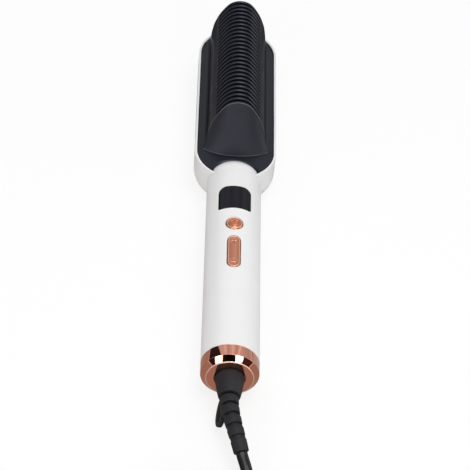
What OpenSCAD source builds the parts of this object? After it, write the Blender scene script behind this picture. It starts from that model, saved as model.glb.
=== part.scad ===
// Heated straightening comb: a round handle with a display and buttons, a deep oval head
// with arched guard fins over a heated comb, and a mains cord on a swivel.
// The comb lies on its back. +Y runs along the handle to the tip of the head, +Z is the
// comb side. The origin is under the middle of the comb, on the surface it lies on.

/* [Overall] */
// Length from the end cap's face to the tip of the head
total_l = 316; // [306:1:330]
// Height from the back of the head to the crest of the fins
total_h = 61.5; // [60:0.5:64]

/* [Handle] */
// Diameter of the handle
handle_d = 35; // [34:0.5:37]
// Thickness of the handle shells
shell_t = 1.8; // [1.4:0.1:2]
// Length of the half-round end of the front cover
dome_l = 12; // [9:0.5:13]
// How far the flat back of the head stands below the handle's back
head_drop = 0.5; // [0.3:0.1:1]
// Width of the joint line between the two shells
seam = 0.1; // [0.05:0.05:0.3]

/* [End cap] */
// Length of the cap's outside
cap_l = 11.4; // [9:0.2:14]
// Length of the sloping shoulder
shoulder_l = 3; // [2:0.1:4]
// Diameter of the cap's face
face_d = 28; // [26:0.5:30]
// Thickness of the cap's face
face_t = 2.2; // [1.6:0.1:3]
// Length of the spigot that plugs into the handle
spigot_l = 6.6; // [5:0.1:9]
// Wall of the spigot
spigot_t = 2.1; // [1.6:0.1:2.4]
// Opening in the face
mouth_d = 18.8; // [18.5:0.1:20]

/* [Head] */
// Width of the head
head_w = 53; // [51:0.5:56]
// Length of the head
head_l = 154; // [146:1:160]
// Height of the white rim above the back of the head
rim_h = 29; // [27:0.5:31]
// Width of the rim's top
rim_t = 1.3; // [1:0.1:1.8]
// Wall of the head below the rim
head_t = 2; // [1.8:0.1:2.4]
// Rounding between the head's side and its back
head_r = 14; // [11:0.5:16]

/* [Comb guard] */
// Depth of the tray's top below the rim
tray_dip = 0.8; // [0.4:0.1:1.4]
// Thickness of the tray
tray_t = 2; // [1.6:0.1:2.6]
// Play around the tray
tray_gap = 0.1; // [0.05:0.05:0.3]
// Width of the arched hump at the tray
hump_w = 38; // [36.5:0.25:39]
// Radius of the fins' crest
crest_r = 11.3; // [10.5:0.1:13]
// Distance from fin to fin
fin_pitch = 4.1; // [3.6:0.05:5]
// Thickness of a fin
fin_t = 1.4; // [1:0.1:1.8]
// Depth of the open slots below the crest
slot_h = 14.5; // [13:0.5:16]
// Distance from the head's near end to the first fin
fins_from = 42; // [38:1:50]
// Distance from the last fin to the head's tip
fins_to = 9.5; // [8:0.5:14]
// Length of the ramp in front of the fins
ramp_l = 16.6; // [12:0.2:22]
// Width of the ramp's foot
ramp_w = 42; // [39:0.5:46]
// Wall of the hump
guard_t = 1.8; // [1.4:0.1:2.2]

/* [Heater] */
// Depth of the heated teeth inside the fins' outline
tooth_inset = 5; // [4:0.25:6.5]
// Thickness of a heated tooth
tooth_t = 1.2; // [0.8:0.1:1.6]
// Thickness of the heated comb's base
base_t = 3.9; // [3:0.1:5]
// Width of the heated comb's base
base_w = 26; // [25:0.5:28]
// Thickness of the ceramic heater
heater_t = 2.4; // [1.6:0.1:3]
// Width of the ceramic heater
heater_w = 16; // [12:0.5:19]
// Thickness of the mica sheet
mica_t = 0.5; // [0.3:0.1:1]
// Thickness of the steel clamp
clamp_t = 1.2; // [0.8:0.1:1.6]

/* [Display] */
// Width of the display window
window_w = 20.6; // [18:0.2:22]
// Length of the display window
window_l = 20.5; // [18:0.5:23]
// Distance from the window's far edge to the head
window_y = 13.9; // [12:0.1:16]
// Radius of the window's far corners
window_far_r = 5; // [3:0.5:6]
// Radius of the window's near corners
window_near_r = 1.5; // [1:0.25:3]
// Thickness of the display lens
lens_t = 1.5; // [1:0.1:1.7]

/* [Buttons] */
// Diameter of the power button
power_d = 10.9; // [9:0.1:11.5]
// Distance from the power button's centre to the window's near edge
power_y = 13.9; // [12.5:0.1:16]
// How far the power button is pressed in
power_travel = 0.4; // [0.3:0.05:0.5]
// Width of the temperature rocker
rocker_w = 8.3; // [8:0.1:9.5]
// Length of the temperature rocker
rocker_l = 27.4; // [24:0.2:28]
// Distance from the rocker's centre to the power button's centre
rocker_y = 24.9; // [24:0.1:27]
// How far a button stands out of the handle
button_proud = 0.4; // [0.2:0.1:0.8]
// Gap around a button
button_gap = 0.25; // [0.2:0.05:0.35]
// Diameter of the rocker's pin
pin_d = 2; // [1.6:0.1:2.4]
// Height of the rocker's pin above the handle's axis
pin_z = 12.5; // [12.2:0.1:12.8]

/* [Board] */
// Width of the control board
board_w = 25; // [22:0.5:27]
// Length of the control board
board_l = 88; // [84:0.5:98]
// Distance from the board's far edge to the head
board_y = 10; // [9.5:0.5:12]
// Thickness of the control board
board_t = 1.6; // [1:0.1:2]
// Height of the board's top above the handle's axis
board_z = 5.6; // [5:0.1:6.2]
// Height of a tactile switch's case
switch_h = 3.5; // [3:0.1:4]
// Height of a tactile switch's plunger
plunger_h = 1; // [0.6:0.1:1.3]

/* [Swivel] */
// Diameter of the swivel's spindle
spindle_d = 12; // [10:0.2:13]
// Running clearance on the spindle, each side
spindle_play = 0.05; // [0.03:0.01:0.08]
// Diameter of the bell that covers the cap's opening
bell_d = 17.6; // [16.8:0.1:18]
// Length of the bell outside the cap
bell_l = 16; // [13:0.1:18]
// Diameter of the bell's narrow end
bell_end_d = 13; // [12.4:0.1:14]
// Length of one rib of the strain relief
rib_l = 7.4; // [6.5:0.1:8.2]
// Width of the groove between two ribs
groove_w = 1.4; // [1:0.1:2]
// Diameter of the first rib
rib_d = 11.3; // [10.6:0.1:12]
// Diameter of the strain relief's end
tail_d = 9; // [8.8:0.1:10]
// Sideways lean of the strain relief's end, in degrees
relief_lean = 17.5; // [0:0.5:22]
// Droop of the strain relief's end, in degrees
relief_droop = 22; // [10:1:25]

/* [Cord] */
// Diameter of the cord
cord_d = 6.8; // [6.5:0.1:7]
// Radius of the hank's inner turn
fold_r = 21; // [20.5:0.5:24]
// Length of the hank's straight runs
run_l = 79; // [60:1:90]
// Turns beside each other in the hank
hank_wide = 2; // [2:1:2]
// Turns on top of each other in the hank
hank_high = 3; // [3:1:3]
// Thickness of the cord tie
tie_t = 1; // [0.6:0.1:1.5]
// Width of the cord tie
tie_w = 9; // [6:1:14]

/* [Plug] */
// Width of the plug's face
plug_w = 35.3; // [33:0.1:36]
// Thickness of the plug
plug_h = 13.7; // [12:0.1:15]
// Length of the plug's body
plug_l = 30; // [26:0.5:36]
// Diameter of a plug pin
plug_pin_d = 4; // [3.9:0.05:4.1]
// Length of a plug pin
plug_pin_l = 19; // [18:0.5:20]
// Distance between the plug pins
plug_pin_gap = 18.6; // [18:0.1:19.2]

/* [Screws] */
// Radius of a screw's shank
shank_r = 1.4; // [1.2:0.05:1.5]
// Radius of a screw's head
screw_head_r = 2.6; // [2.3:0.1:2.8]
// Height of a screw's head
screw_head_h = 1.6; // [1.2:0.1:2]
// Play around a screw
screw_play = 0.06; // [0.04:0.01:0.1]
// Wall around a screw in a boss
boss_t = 2; // [1.6:0.1:2.2]

/* [Hidden] */

eps = 0.01;
white = "whitesmoke";
black = [0.16, 0.16, 0.18];
rose = [0.78, 0.5, 0.42];

// Levels above the handle's axis
handle_r = handle_d / 2;
bore_r = handle_r - shell_t;
axis_z = handle_r + head_drop;
back_z = -axis_z;
rim_z = rim_h - axis_z;
tray_z = rim_z - tray_dip;
crest_z = total_h - axis_z;
slot_z = crest_z - slot_h;
fit_gap = 0.1;

// Places along the axis, from the cap's face
head_r_out = head_w / 2;
head_y = total_l - head_l;
near_y = head_y + head_r_out;
far_y = total_l - head_r_out;
tray_r = head_r_out - rim_t - tray_gap;
dome_y = head_y + 6;
fin_y0 = head_y + fins_from;
fin_n = floor((total_l - fins_to - fin_y0) / fin_pitch + 0.001) + 1;
fin_end_y = fin_y0 + (fin_n - 1) * fin_pitch + fin_t / 2;
slot_w = fin_pitch - fin_t;
ridge_y = fin_y0 - fin_pitch + fin_t / 2;
ridge_t = 1.6;
ridge_dip = 0.3;
ridge_wall = 1.5;
cavity_dip = 6;

// The hump's outline: a round crest that runs smoothly into two long flank arcs
hump_r = hump_w / 2;
crest_c = crest_z - crest_r;
crest_up = crest_c - tray_z;
flank_r = (hump_r * hump_r + crest_up * crest_up - crest_r * crest_r) / (2 * (hump_r - crest_r));
flank_x = flank_r - hump_r;

// The heater's stack, from the guard's ceiling down
ceiling_z = slot_z - 5;
window_in = 11;
base_top = ceiling_z - fit_gap;
base_z = base_top - base_t;
heater_z = base_z - heater_t;
mica_z = heater_z - mica_t;
clamp_z = mica_z - clamp_t;
heater_y0 = ridge_y + 9;
heater_y1 = fin_end_y - 9;
sensor_x = 9.6;
sensor_y = heater_y0 + 12;
fuse_y = heater_y0 + 20;
fuse_l = 11;
lead_r = 1;
lead_z = heater_z + heater_t / 2;
clamp_end = 6;
clamp_foot = 4;
clamp_screw_y = [heater_y0 - clamp_end / 2, heater_y1 + clamp_end / 2];

// Display, buttons and board, from the head back
window_y0 = head_y - window_y - window_l;
power_at = window_y0 - power_y;
rocker_at = power_at - rocker_y;
board_y1 = head_y - board_y;
board_y0 = board_y1 - board_l;
triac_y = 24;
plunger_z = board_z + switch_h + plunger_h;
rocker_arm = 9;
pin_in = 5.6;
pin_out = 7.4;

// Screws
drum_y1 = 22;
hole_r = shank_r + screw_play;
sink_r = screw_head_r + 0.2;
boss_r = hole_r + boss_t;
head_screw_x = tray_r - boss_r - 1.8;
head_screw_z = back_z + 7;
head_posts = [for (y = [near_y + 8, far_y - 2], x = [-1, 1]) [x * head_screw_x, y]];
handle_screw_z = -bore_r + 3;
head_screw_l = 11;
handle_screw_l = 12;
// The near screw stands between the swivel and the board, with room for its boss
handle_screw_y = [max(drum_y1 + 5, board_y0 - 32), head_y - 5];
board_posts = [for (y = [board_y0 + 4.5, power_at + 9], x = [-1, 1]) [x * (board_w / 2 - 3), y]];

// Swivel, from the cap's face inwards
spindle_r = spindle_d / 2;
mouth_in = 2;
bush_y0 = face_t + fit_gap / 2;
bush_y1 = 9.5;
bush_r = handle_r - shell_t - fit_gap / 2 - spigot_t - 0.05;
flange_r = spindle_r + 2;
flange_t = 1.4;
drum_r = spindle_r - 0.6;
ring_w = 2.4;
ring_t = 0.9;
ring_y = [13.2, 17.8];
holder_y0 = 12;
holder_y1 = 21.4;
holder_in = flange_r + 1;
board_in = board_y0 - holder_y1;

cord_r = cord_d / 2;
core_r = cord_r + 0.5;

// Strain relief: each rib leans and droops more than the one before
rib_n = 5;
function rib_dir(k) =
    let (lean = relief_lean * sin(90 * (k + 1) / rib_n), droop = relief_droop * pow(k / (rib_n - 1), 2))
    [cos(droop) * sin(lean), -cos(droop) * cos(lean), -sin(droop)];
function rib_at(k) = k == 0 ? [0, -bell_l, 0] : rib_at(k - 1) + rib_l * rib_dir(k - 1);
function rib_r(k) = (rib_d + (tail_d - rib_d) * k / rib_n) / 2;

// Hanging eye
eye_w = 12.4;
eye_hole = 7.6;
eye_l = 16;
eye_t = 2.6;

// The cord's route, as [x, y from the cap's face, height above the surface]
face_y = -total_l / 2;
lead_in = [
    [10.6, -58, 9.2], [12.8, -65, 6.2], [15, -72, 4.4], [17, -79, 3.5], [18.6, -86, 3.4], [19.6, -90, 3.6]
];
lead_out = [
    [20.7, -198, 17.9], [19.2, -205, 17.9], [16.8, -212, 17.4], [13.8, -220, 15.6],
    [10.8, -229, 12.4], [8.4, -238, 9.4], [6.8, -247, 7.5], [6, -254, 6.9], [6, -258.9, 6.9]
];

// The hank: a long oval of turns beside and on top of each other
hank_x = -7;
hank_y0 = -107;
hank_y1 = hank_y0 - run_l;
hank_out = fold_r + (hank_wide - 0.5) * cord_d;
hank_in = fold_r - cord_r;
hank_h = hank_high * cord_d;

// The plug
plug_x = 6;
plug_y = -259;
plug_z = plug_h / 2;
plug_neck_l = 14;
plug_neck_r = 4.6;
plug_root_r = plug_pin_d / 2 - 0.5;
plug_root_l = 8;

// Lays what is drawn about the handle's axis on the surface, with the origin under its middle
module at_axis() { translate([0, -total_l / 2, axis_z]) children(); }
// Turns an outline of [radius, y] about the handle's axis
module turned() { rotate([-90, 0, 0]) rotate_extrude($fn = 96) children(); }
// Draws an outline of [x, z] from y0 to y1
module along(y0, y1) { translate([0, y1, 0]) rotate([90, 0, 0]) linear_extrude(y1 - y0) children(); }
module tube_x(r, x0, x1, y, z) {
    translate([x0, y, z]) rotate([0, 90, 0]) cylinder(r = r, h = x1 - x0, $fn = 32);
}
module tube_y(r, y0, y1, x, z) {
    translate([x, y0, z]) rotate([-90, 0, 0]) cylinder(r = r, h = y1 - y0, $fn = 32);
}
module tube_z(r, x, y, z0, z1) { translate([x, y, z0]) cylinder(r = r, h = z1 - z0, $fn = 48); }
module box(x0, x1, y0, y1, z0, z1) { translate([x0, y0, z0]) cube([x1 - x0, y1 - y0, z1 - z0]); }
module both() {
    children();
    mirror([1, 0]) children();
}

// Long oval between y0 and y1, with round ends of radius r
module oval(r, y0, y1) {
    for (y = [y0 + r, y1 - r]) translate([0, y]) circle(r, $fn = 96);
    translate([-r, y0 + r]) square([2 * r, y1 - y0 - 2 * r]);
}

// Half of the head's outline, [distance from its middle, height]
module head_half(r, f, z0, z1) {
    intersection() {
        union() {
            translate([0, z0]) square([r - f, z1 - z0]);
            translate([0, z0 + f]) square([r, z1 - z0 - f]);
            translate([r - f, z0 + f]) circle(f, $fn = 96);
        }
        translate([0, z0]) square([r, z1 - z0]);
    }
}

// Solid of the head: round ends and a straight middle, rounded to its back
module head_form(r, f, z0, z1) {
    for (y = [near_y, far_y])
        translate([0, y, 0]) rotate_extrude($fn = 96) head_half(r, f, z0, z1);
    along(near_y, far_y) both() head_half(r, f, z0, z1);
}

// The hump's cross-section above z0, drawn inset
module hump_section(z0, inset = 0) {
    top = crest_r - inset;
    side = flank_r - inset;
    joint_z = crest_c + top * crest_up / (flank_r - crest_r);
    intersection() {
        translate([-hump_r, z0]) square([hump_w, crest_z - z0 + 1]);
        union() {
            translate([0, crest_c]) circle(top, $fn = 96);
            intersection() {
                translate([-flank_x, tray_z]) circle(side, $fn = 180);
                translate([flank_x, tray_z]) circle(side, $fn = 180);
                translate([-hump_r, tray_z - 3]) square([hump_w, joint_z - tray_z + 3]);
            }
        }
    }
}

// A screw with its head down: its shank runs from the seat's level up
module screw(x, y, seat_z, length) {
    tube_z(shank_r, x, y, seat_z - eps, seat_z + length);
    tube_z(screw_head_r, x, y, seat_z - screw_head_h, seat_z);
}

// A tube swept along points, with a smooth curve between them
function curve(p, i, t) =
    let (a = p[max(i - 1, 0)], b = p[i], c = p[i + 1], d = p[min(i + 2, len(p) - 1)])
    0.5 * (2 * b + (c - a) * t + (2 * a - 5 * b + 4 * c - d) * t * t + (3 * b - a - 3 * c + d) * t * t * t);
function unit(v) = v / norm(v);
module sweep(points, r, sides = 10, steps = 2) {
    line = [for (i = [0 : len(points) - 2], k = [0 : steps - 1]) curve(points, i, k / steps),
        points[len(points) - 1]];
    n = len(line);
    rings = [for (i = [0 : n - 1])
        let (t = unit(line[min(i + 1, n - 1)] - line[max(i - 1, 0)]),
             side = unit(cross(t, [0, 0, 1])), up = cross(side, t))
        for (k = [0 : sides - 1])
            line[i] + r * (cos(360 * k / sides) * side + sin(360 * k / sides) * up)];
    skin = [for (i = [0 : n - 2], k = [0 : sides - 1])
        let (a = i * sides + k, b = i * sides + (k + 1) % sides) [a, b, b + sides, a + sides]];
    polyhedron(rings, concat([[for (k = [sides - 1 : -1 : 0]) k]], skin,
        [[for (k = [0 : sides - 1]) (n - 1) * sides + k]]), convexity = 8);
}

// Outline of the display window, grown by g
module window(g = 0) {
    w = window_w / 2 + g;
    y1 = window_y0 + window_l + g;
    y0 = window_y0 - g;
    far = window_far_r + g;
    near = window_near_r + g;
    both() {
        translate([w - far, y1 - far]) circle(far, $fn = 64);
        translate([w - near, y0 + near]) circle(near, $fn = 32);
        translate([-eps, y0]) square([w - near + eps, y1 - y0 - far]);
        translate([-eps, y0 + near]) square([w + eps, y1 - y0 - far - near]);
        translate([-eps, y1 - far - eps]) square([w - far + eps, far + eps]);
    }
}

// Outline of the rocker, grown by g
module capsule(g = 0) {
    r = rocker_w / 2;
    for (y = [rocker_at - rocker_l / 2 + r, rocker_at + rocker_l / 2 - r])
        translate([0, y]) circle(r + g, $fn = 64);
    translate([-r - g, rocker_at - rocker_l / 2 + r]) square([2 * (r + g), rocker_l - 2 * r]);
}

// Profile of the handle from y0 to its half-round end, drawn inset
module handle_profile(y0, inset = 0) {
    r = handle_r - inset;
    l = dome_l - inset;
    polygon([[0, y0], [r, y0], for (k = [0 : 12]) [r * cos(7.5 * k), dome_y + l * sin(7.5 * k)]]);
}

// ---- Shells ----

// Handle's lower half and the head's tub in one moulding, with its white rim
module lower_shell() color(white) at_axis() {
    difference() {
        union() {
            head_form(head_r_out, head_r, back_z, rim_z);
            intersection() {
                turned() translate([0, cap_l]) square([handle_r, head_y + head_r - cap_l]);
                box(-handle_r, handle_r, 0, near_y, -handle_r, -seam / 2);
            }
        }
        // Inside of the handle, up to the head's near wall
        difference() {
            turned() translate([0, cap_l - 1]) square([bore_r, head_y + head_r - cap_l]);
            head_form(head_r_out, head_r, back_z, rim_z);
        }
        head_form(head_r_out - head_t, head_r - head_t, back_z + head_t, rim_z + 1);
        // Seat of the tray
        translate([0, 0, tray_z - tray_t]) linear_extrude(tray_dip + tray_t + 1)
            oval(head_r_out - rim_t, head_y + rim_t, total_l - rim_t);
        // Way of the leads into the head
        translate([0, head_y - 2, -3]) rotate([-90, 0, 0]) cylinder(r = 6, h = 12, $fn = 48);
        for (p = head_posts) tube_z(sink_r, p.x, p.y, back_z - 1, head_screw_z);
        for (y = handle_screw_y) tube_z(sink_r, 0, y, back_z - 1, handle_screw_z);
    }
    // Bosses around the head's screws
    for (p = head_posts) difference() {
        intersection() {
            tube_z(sink_r + boss_t, p.x, p.y, back_z, head_screw_z + 2);
            head_form(head_r_out, head_r, back_z, rim_z);
        }
        tube_z(sink_r, p.x, p.y, back_z - 1, head_screw_z);
        tube_z(hole_r, p.x, p.y, back_z, rim_z);
    }
    // Bosses around the handle's screws
    for (y = handle_screw_y) difference() {
        intersection() {
            tube_z(sink_r + boss_t, 0, y, -handle_r, handle_screw_z + 2);
            turned() square([handle_r, head_y]);
        }
        tube_z(sink_r, 0, y, back_z - 1, handle_screw_z);
        tube_z(hole_r, 0, y, back_z, 0);
    }
}

// Handle's upper half, with its half-round end over the head's rim
module front_cover() color(white) at_axis() {
    difference() {
        union() {
            difference() {
                turned() handle_profile(cap_l);
                turned() handle_profile(cap_l - 1, shell_t);
            }
            // Bosses for the handle's screws, the board's screws and the rocker's pin
            intersection() {
                union() {
                    for (y = handle_screw_y) tube_z(boss_r, 0, y, handle_screw_z + 2 + fit_gap, bore_r + 1);
                    for (p = board_posts) tube_z(boss_r, p.x, p.y, board_z, bore_r + 1);
                    for (s = [-1, 1]) box(s > 0 ? pin_in : -pin_out, s > 0 ? pin_out : -pin_in,
                        rocker_at - 3, rocker_at + 3, pin_z - pin_d, bore_r + 1);
                }
                turned() square([bore_r + 0.5, head_y]);
            }
        }
        difference() {
            box(-handle_r - 1, handle_r + 1, 0, total_l, -handle_r - 1, seam / 2);
            for (y = handle_screw_y) tube_z(boss_r, 0, y, handle_screw_z, 1);
        }
        // Seats on the head's rim and on the tray
        translate([0, 0, -handle_r]) linear_extrude(handle_r + rim_z + fit_gap)
            difference() {
                oval(head_r_out + fit_gap, head_y - fit_gap, total_l);
                oval(head_r_out - rim_t - fit_gap, head_y + rim_t + fit_gap, total_l - rim_t);
            }
        translate([0, 0, -handle_r]) linear_extrude(handle_r + tray_z + fit_gap)
            oval(head_r_out, head_y, total_l);
        linear_extrude(handle_r + 1) {
            window(fit_gap / 2);
            translate([0, power_at]) circle(power_d / 2 + button_gap, $fn = 64);
            capsule(button_gap);
        }
        tube_x(pin_d / 2 + 0.02, -pin_out - 1, pin_out + 1, rocker_at, pin_z);
        for (y = handle_screw_y) tube_z(hole_r, 0, y, -handle_r, bore_r - 4);
        for (p = board_posts) tube_z(hole_r, p.x, p.y, 0, board_z + 5);
    }
}

// ---- Head ----

// Outline of the front cover's end where it passes through the tray's top, grown by g
module dome_outline(g) {
    share = sqrt(1 - pow(tray_z / handle_r, 2));
    polygon([for (k = [-2 : 26]) let (a = 7.5 * k)
        [(handle_r * share + g) * cos(a), dome_y + (dome_l * share + g) * sin(a)]]);
}

// Ramp from the tray up to a ridge between y0 and y1, from z0 up. Its foot is drawn inset, its arch by dip
module ramp(y0, y1, z0, dip, inset = 0) {
    foot = 6;
    hull() {
        along(y0, y1) hump_section(z0, dip);
        for (s = [-1, 1]) translate([s * (ramp_w / 2 - foot), ridge_y - ramp_l + foot, z0])
            cylinder(r = foot - inset, h = tray_z - z0 - inset, $fn = 32);
    }
}

// Tray, ramp and arched fins in one moulding
module comb_guard() color(black) at_axis() {
    low_z = tray_z - tray_t;
    difference() {
        intersection() {
            union() {
                translate([0, 0, low_z]) linear_extrude(tray_t)
                    oval(tray_r, head_y + rim_t + tray_gap, total_l - rim_t - tray_gap);
                along(ridge_y + slot_w / 2, fin_end_y) hump_section(low_z);
                ramp(ridge_y - ridge_t, ridge_y + slot_w / 2 + 0.3, low_z, ridge_dip);
                // Rounded end behind the last fin
                hull() {
                    along(fin_end_y - 0.5, fin_end_y) hump_section(low_z + 0.05, 0.05);
                    translate([0, 0, low_z + 0.05]) linear_extrude(tray_t - 0.1) intersection() {
                        translate([0, far_y]) circle(tray_r - 0.6, $fn = 48);
                        translate([-head_w / 2, fin_end_y]) square([head_w, head_w]);
                    }
                }
            }
            translate([0, 0, back_z]) linear_extrude(total_h)
                oval(tray_r, head_y + rim_t + tray_gap, total_l - rim_t - tray_gap);
        }
        for (i = [0 : fin_n - 1]) {
            y0 = ridge_y + i * fin_pitch;
            box(-head_w, head_w, y0, y0 + slot_w, slot_z, crest_z + 1);
            box(-window_in, window_in, y0, y0 + slot_w, ceiling_z - 1, slot_z + 1);
        }
        // Room for the heater under the fins
        intersection() {
            along(ridge_y - 2.5, fin_end_y - guard_t) hump_section(low_z - 1, guard_t);
            box(-head_w, head_w, ridge_y - 3, total_l, back_z, ceiling_z);
        }
        ramp(ridge_y - ridge_wall - 0.6, ridge_y - ridge_wall, low_z - 1, cavity_dip, guard_t);
    }
    // Lip around the end of the front cover
    translate([0, 0, tray_z - eps]) linear_extrude(tray_dip)
        difference() {
            intersection() {
                dome_outline(1.2);
                oval(tray_r, head_y + rim_t + tray_gap, total_l);
            }
            dome_outline(0.3);
        }
    // Posts for the head's screws
    for (p = head_posts) difference() {
        tube_z(boss_r, p.x, p.y, head_screw_z + 2 + fit_gap, low_z + eps);
        tube_z(hole_r, p.x, p.y, back_z, head_screw_z + head_screw_l + 1);
    }
}

// Heated comb: one tooth in each slot, on a base under the fins
module heated_comb() color([0.25, 0.25, 0.27]) at_axis() {
    difference() {
        union() {
            box(-base_w / 2, base_w / 2, ridge_y + 0.4, fin_end_y - guard_t - 1, base_z, base_top);
            for (i = [0 : fin_n - 1]) {
                y = fin_y0 + (i - 0.5) * fin_pitch;
                along(y - tooth_t / 2, y + tooth_t / 2) intersection() {
                    hump_section(base_top - 1, tooth_inset);
                    translate([-window_in + 0.5, base_top - 1]) square([2 * window_in - 1, crest_z]);
                }
            }
        }
        for (y = clamp_screw_y) tube_z(hole_r, 0, y, base_z - 1, base_top - 0.5);
        tube_z(1.3, sensor_x, sensor_y, base_z - 1, base_z + 2.6);
    }
}

module ceramic_heater() color("ivory") at_axis()
    box(-heater_w / 2, heater_w / 2, heater_y0, heater_y1, heater_z, base_z);

module mica_sheet() color("wheat") at_axis()
    box(-heater_w / 2 - 0.5, heater_w / 2 + 0.5, heater_y0, heater_y1, mica_z, heater_z);

// Steel bar under the heater, with its ends raised to the comb's base
module heater_clamp() color("silver") at_axis() difference() {
    union() {
        box(-heater_w / 2, heater_w / 2, heater_y0 - clamp_end, heater_y1 + clamp_end, clamp_z, mica_z);
        for (y = [heater_y0 - clamp_end, heater_y1 + 0.3])
            box(-clamp_foot, clamp_foot, y, y + clamp_end - 0.3, mica_z - eps, base_z);
    }
    for (y = clamp_screw_y) tube_z(hole_r, 0, y, clamp_z - 1, base_z + 1);
}

module clamp_screws() color("silver") at_axis()
    for (y = clamp_screw_y) screw(0, y, clamp_z, base_top - 1 - clamp_z);

// Bead in a blind hole of the comb's base
module thermistor() color("darkslategray") at_axis()
    tube_z(1.2, sensor_x, sensor_y, base_z - 2, base_z + 2.5);

// Cylinder that rests under the clamp
module thermal_fuse() color("tan") at_axis() tube_y(2, fuse_y, fuse_y + fuse_l, 0, clamp_z - 2);

module head_screws() color("dimgray") at_axis()
    for (p = head_posts) screw(p.x, p.y, head_screw_z, head_screw_l);

module handle_screws() color("dimgray") at_axis()
    for (y = handle_screw_y) screw(0, y, handle_screw_z, handle_screw_l);

// ---- Electronics ----

module control_board() color("darkgreen") at_axis() difference() {
    box(-board_w / 2, board_w / 2, board_y0, board_y1, board_z - board_t, board_z);
    for (p = board_posts) tube_z(hole_r, p.x, p.y, 0, board_z + 1);
}

module board_screws() color("silver") at_axis()
    for (p = board_posts) screw(p.x, p.y, board_z - board_t, board_t + 4);

module display_module() color("black") at_axis()
    box(-window_w / 2 + 1.5, window_w / 2 - 1.5, window_y0 + 0.8, window_y0 + window_l - 0.8, board_z,
        sqrt(pow(bore_r, 2) - pow(window_w / 2 - 1.5, 2)) - 0.3);

// Lens that fills the window and follows the handle's round surface
module display_lens() color([0.05, 0.05, 0.06]) at_axis() intersection() {
    turned() translate([handle_r - lens_t, window_y0 - 1]) square([lens_t, window_l + 2]);
    linear_extrude(handle_r + 1) window();
}

// Tactile switch on the board: a square case with a round plunger
module tact(y) {
    box(-3, 3, y - 3, y + 3, board_z, board_z + switch_h);
    tube_z(1.7, 0, y, board_z + switch_h - eps, plunger_z);
}

module power_switch() color("dimgray") at_axis() tact(power_at);

module temperature_switches() color("dimgray") at_axis()
    for (s = [-1, 1]) tact(rocker_at + s * rocker_arm);

module rocker_pin() color("silver") at_axis() tube_x(pin_d / 2, -pin_out, pin_out, rocker_at, pin_z);

module controller_chip() color("black") at_axis()
    box(-3.5, 3.5, power_at + 4, power_at + 11, board_z, board_z + 1.4);

// Flat case with a heat tab and three legs, under the board
module power_triac() color("black") at_axis() {
    y = board_y0 + triac_y;
    box(-5, 5, y, y + 9, board_z - board_t - 4.5, board_z - board_t);
    box(-5, 5, y + 9 - eps, y + 15, board_z - board_t - 4.5, board_z - board_t - 3.2);
    for (x = [-2.5, 0, 2.5])
        box(x - 0.4, x + 0.4, y - 4, y + eps, board_z - board_t - 0.5, board_z - board_t);
}

module film_capacitor() color("gold") at_axis()
    box(-6.5, 6.5, board_y0 + 10, board_y0 + 17, board_z - board_t - 11, board_z - board_t);

module lead_connector() color("ivory") at_axis()
    box(-9, 9, board_y1 - 12, board_y1 - 4, board_z - board_t - 6, board_z - board_t);

// ---- Inner leads ----

module heater_leads() color("firebrick") at_axis() for (s = [-1, 1])
    sweep([[5 * s, board_y1 - 3.7, 0.5], [5 * s, handle_screw_y[1], -1.6], [4.4 * s, head_y + 2, -3],
        [3.8 * s, head_y + 12, -3], [5 * s, heater_y0 - 17, lead_z - 14],
        [5.6 * s, heater_y0 - 13.5, lead_z - 7], [6 * s, heater_y0 - 10.8, lead_z - 2],
        [6 * s, heater_y0 - 8.6, lead_z - 0.2],
        [6 * s, heater_y0 - 5, lead_z], [6 * s, heater_y0 - 0.1, lead_z]], lead_r, 8, 3);

module sensor_leads() color("dimgray") at_axis()
    sweep([[7.4, board_y1 - 3.7, 0.5], [5.4, handle_screw_y[1], -4.6], [2.6, head_y + 3, -6.4],
        [2.6, head_y + 12, -6.4], [sensor_x, heater_y0 - 16, -6.4],
        [sensor_x, heater_y0, clamp_z - 11], [sensor_x, sensor_y, clamp_z - 2.5],
        [sensor_x, sensor_y, base_z - 2.3]], lead_r * 0.6, 6, 3);

module supply_leads() color("saddlebrown") at_axis() for (s = [-1, 1])
    sweep([[8 * s, holder_y1 + 0.1, -6], [7.4 * s, holder_y1 + 0.23 * board_in, -5],
        [7.4 * s, holder_y1 + 0.71 * board_in, -3],
        [6 * s, board_y0 + 4, board_z - board_t - lead_r - 0.05]], lead_r, 8, 3);

// ---- End cap and swivel ----

module end_cap() color(rose) at_axis() turned() {
    spigot_r = bore_r - fit_gap / 2;
    difference() {
        polygon([[0, 0], [face_d / 2, 0], [handle_r, shoulder_l], [handle_r, cap_l], [spigot_r, cap_l],
            [spigot_r, cap_l + spigot_l], [0, cap_l + spigot_l]]);
        translate([0, -1]) square([mouth_d / 2, face_t + 2]);
        translate([0, face_t]) square([spigot_r - spigot_t, cap_l + spigot_l]);
    }
}

module swivel_bush() color("linen") at_axis() turned()
    translate([spindle_r + spindle_play, bush_y0])
        square([bush_r - spindle_r - spindle_play, bush_y1 - bush_y0]);

// Ring that carries the brushes, pressed into the cap's spigot
module brush_holder() color("black") at_axis() difference() {
    turned() translate([holder_in, bush_y1]) square([bush_r - holder_in, holder_y1 - bush_y1]);
    for (k = [0, 1]) brush(k, 0.02);
}

// Brush k: a flat finger that touches its ring from the side
module brush(k, g = 0) {
    y = ring_y[k] + ring_w / 2;
    x = drum_r + ring_t + 0.05;
    mirror([k, 0, 0]) box(x - g, bush_r - 0.6 + g, y - 0.9 - g, y + 0.9 + g, -1.2 - g, 1.2 + g);
}

module contact_brushes() color("peru") at_axis() for (k = [0, 1]) brush(k);

module contact_rings() color("gold") at_axis() turned()
    for (y = ring_y) translate([drum_r, y]) square([ring_t, ring_w]);

// ---- Buttons ----

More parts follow.
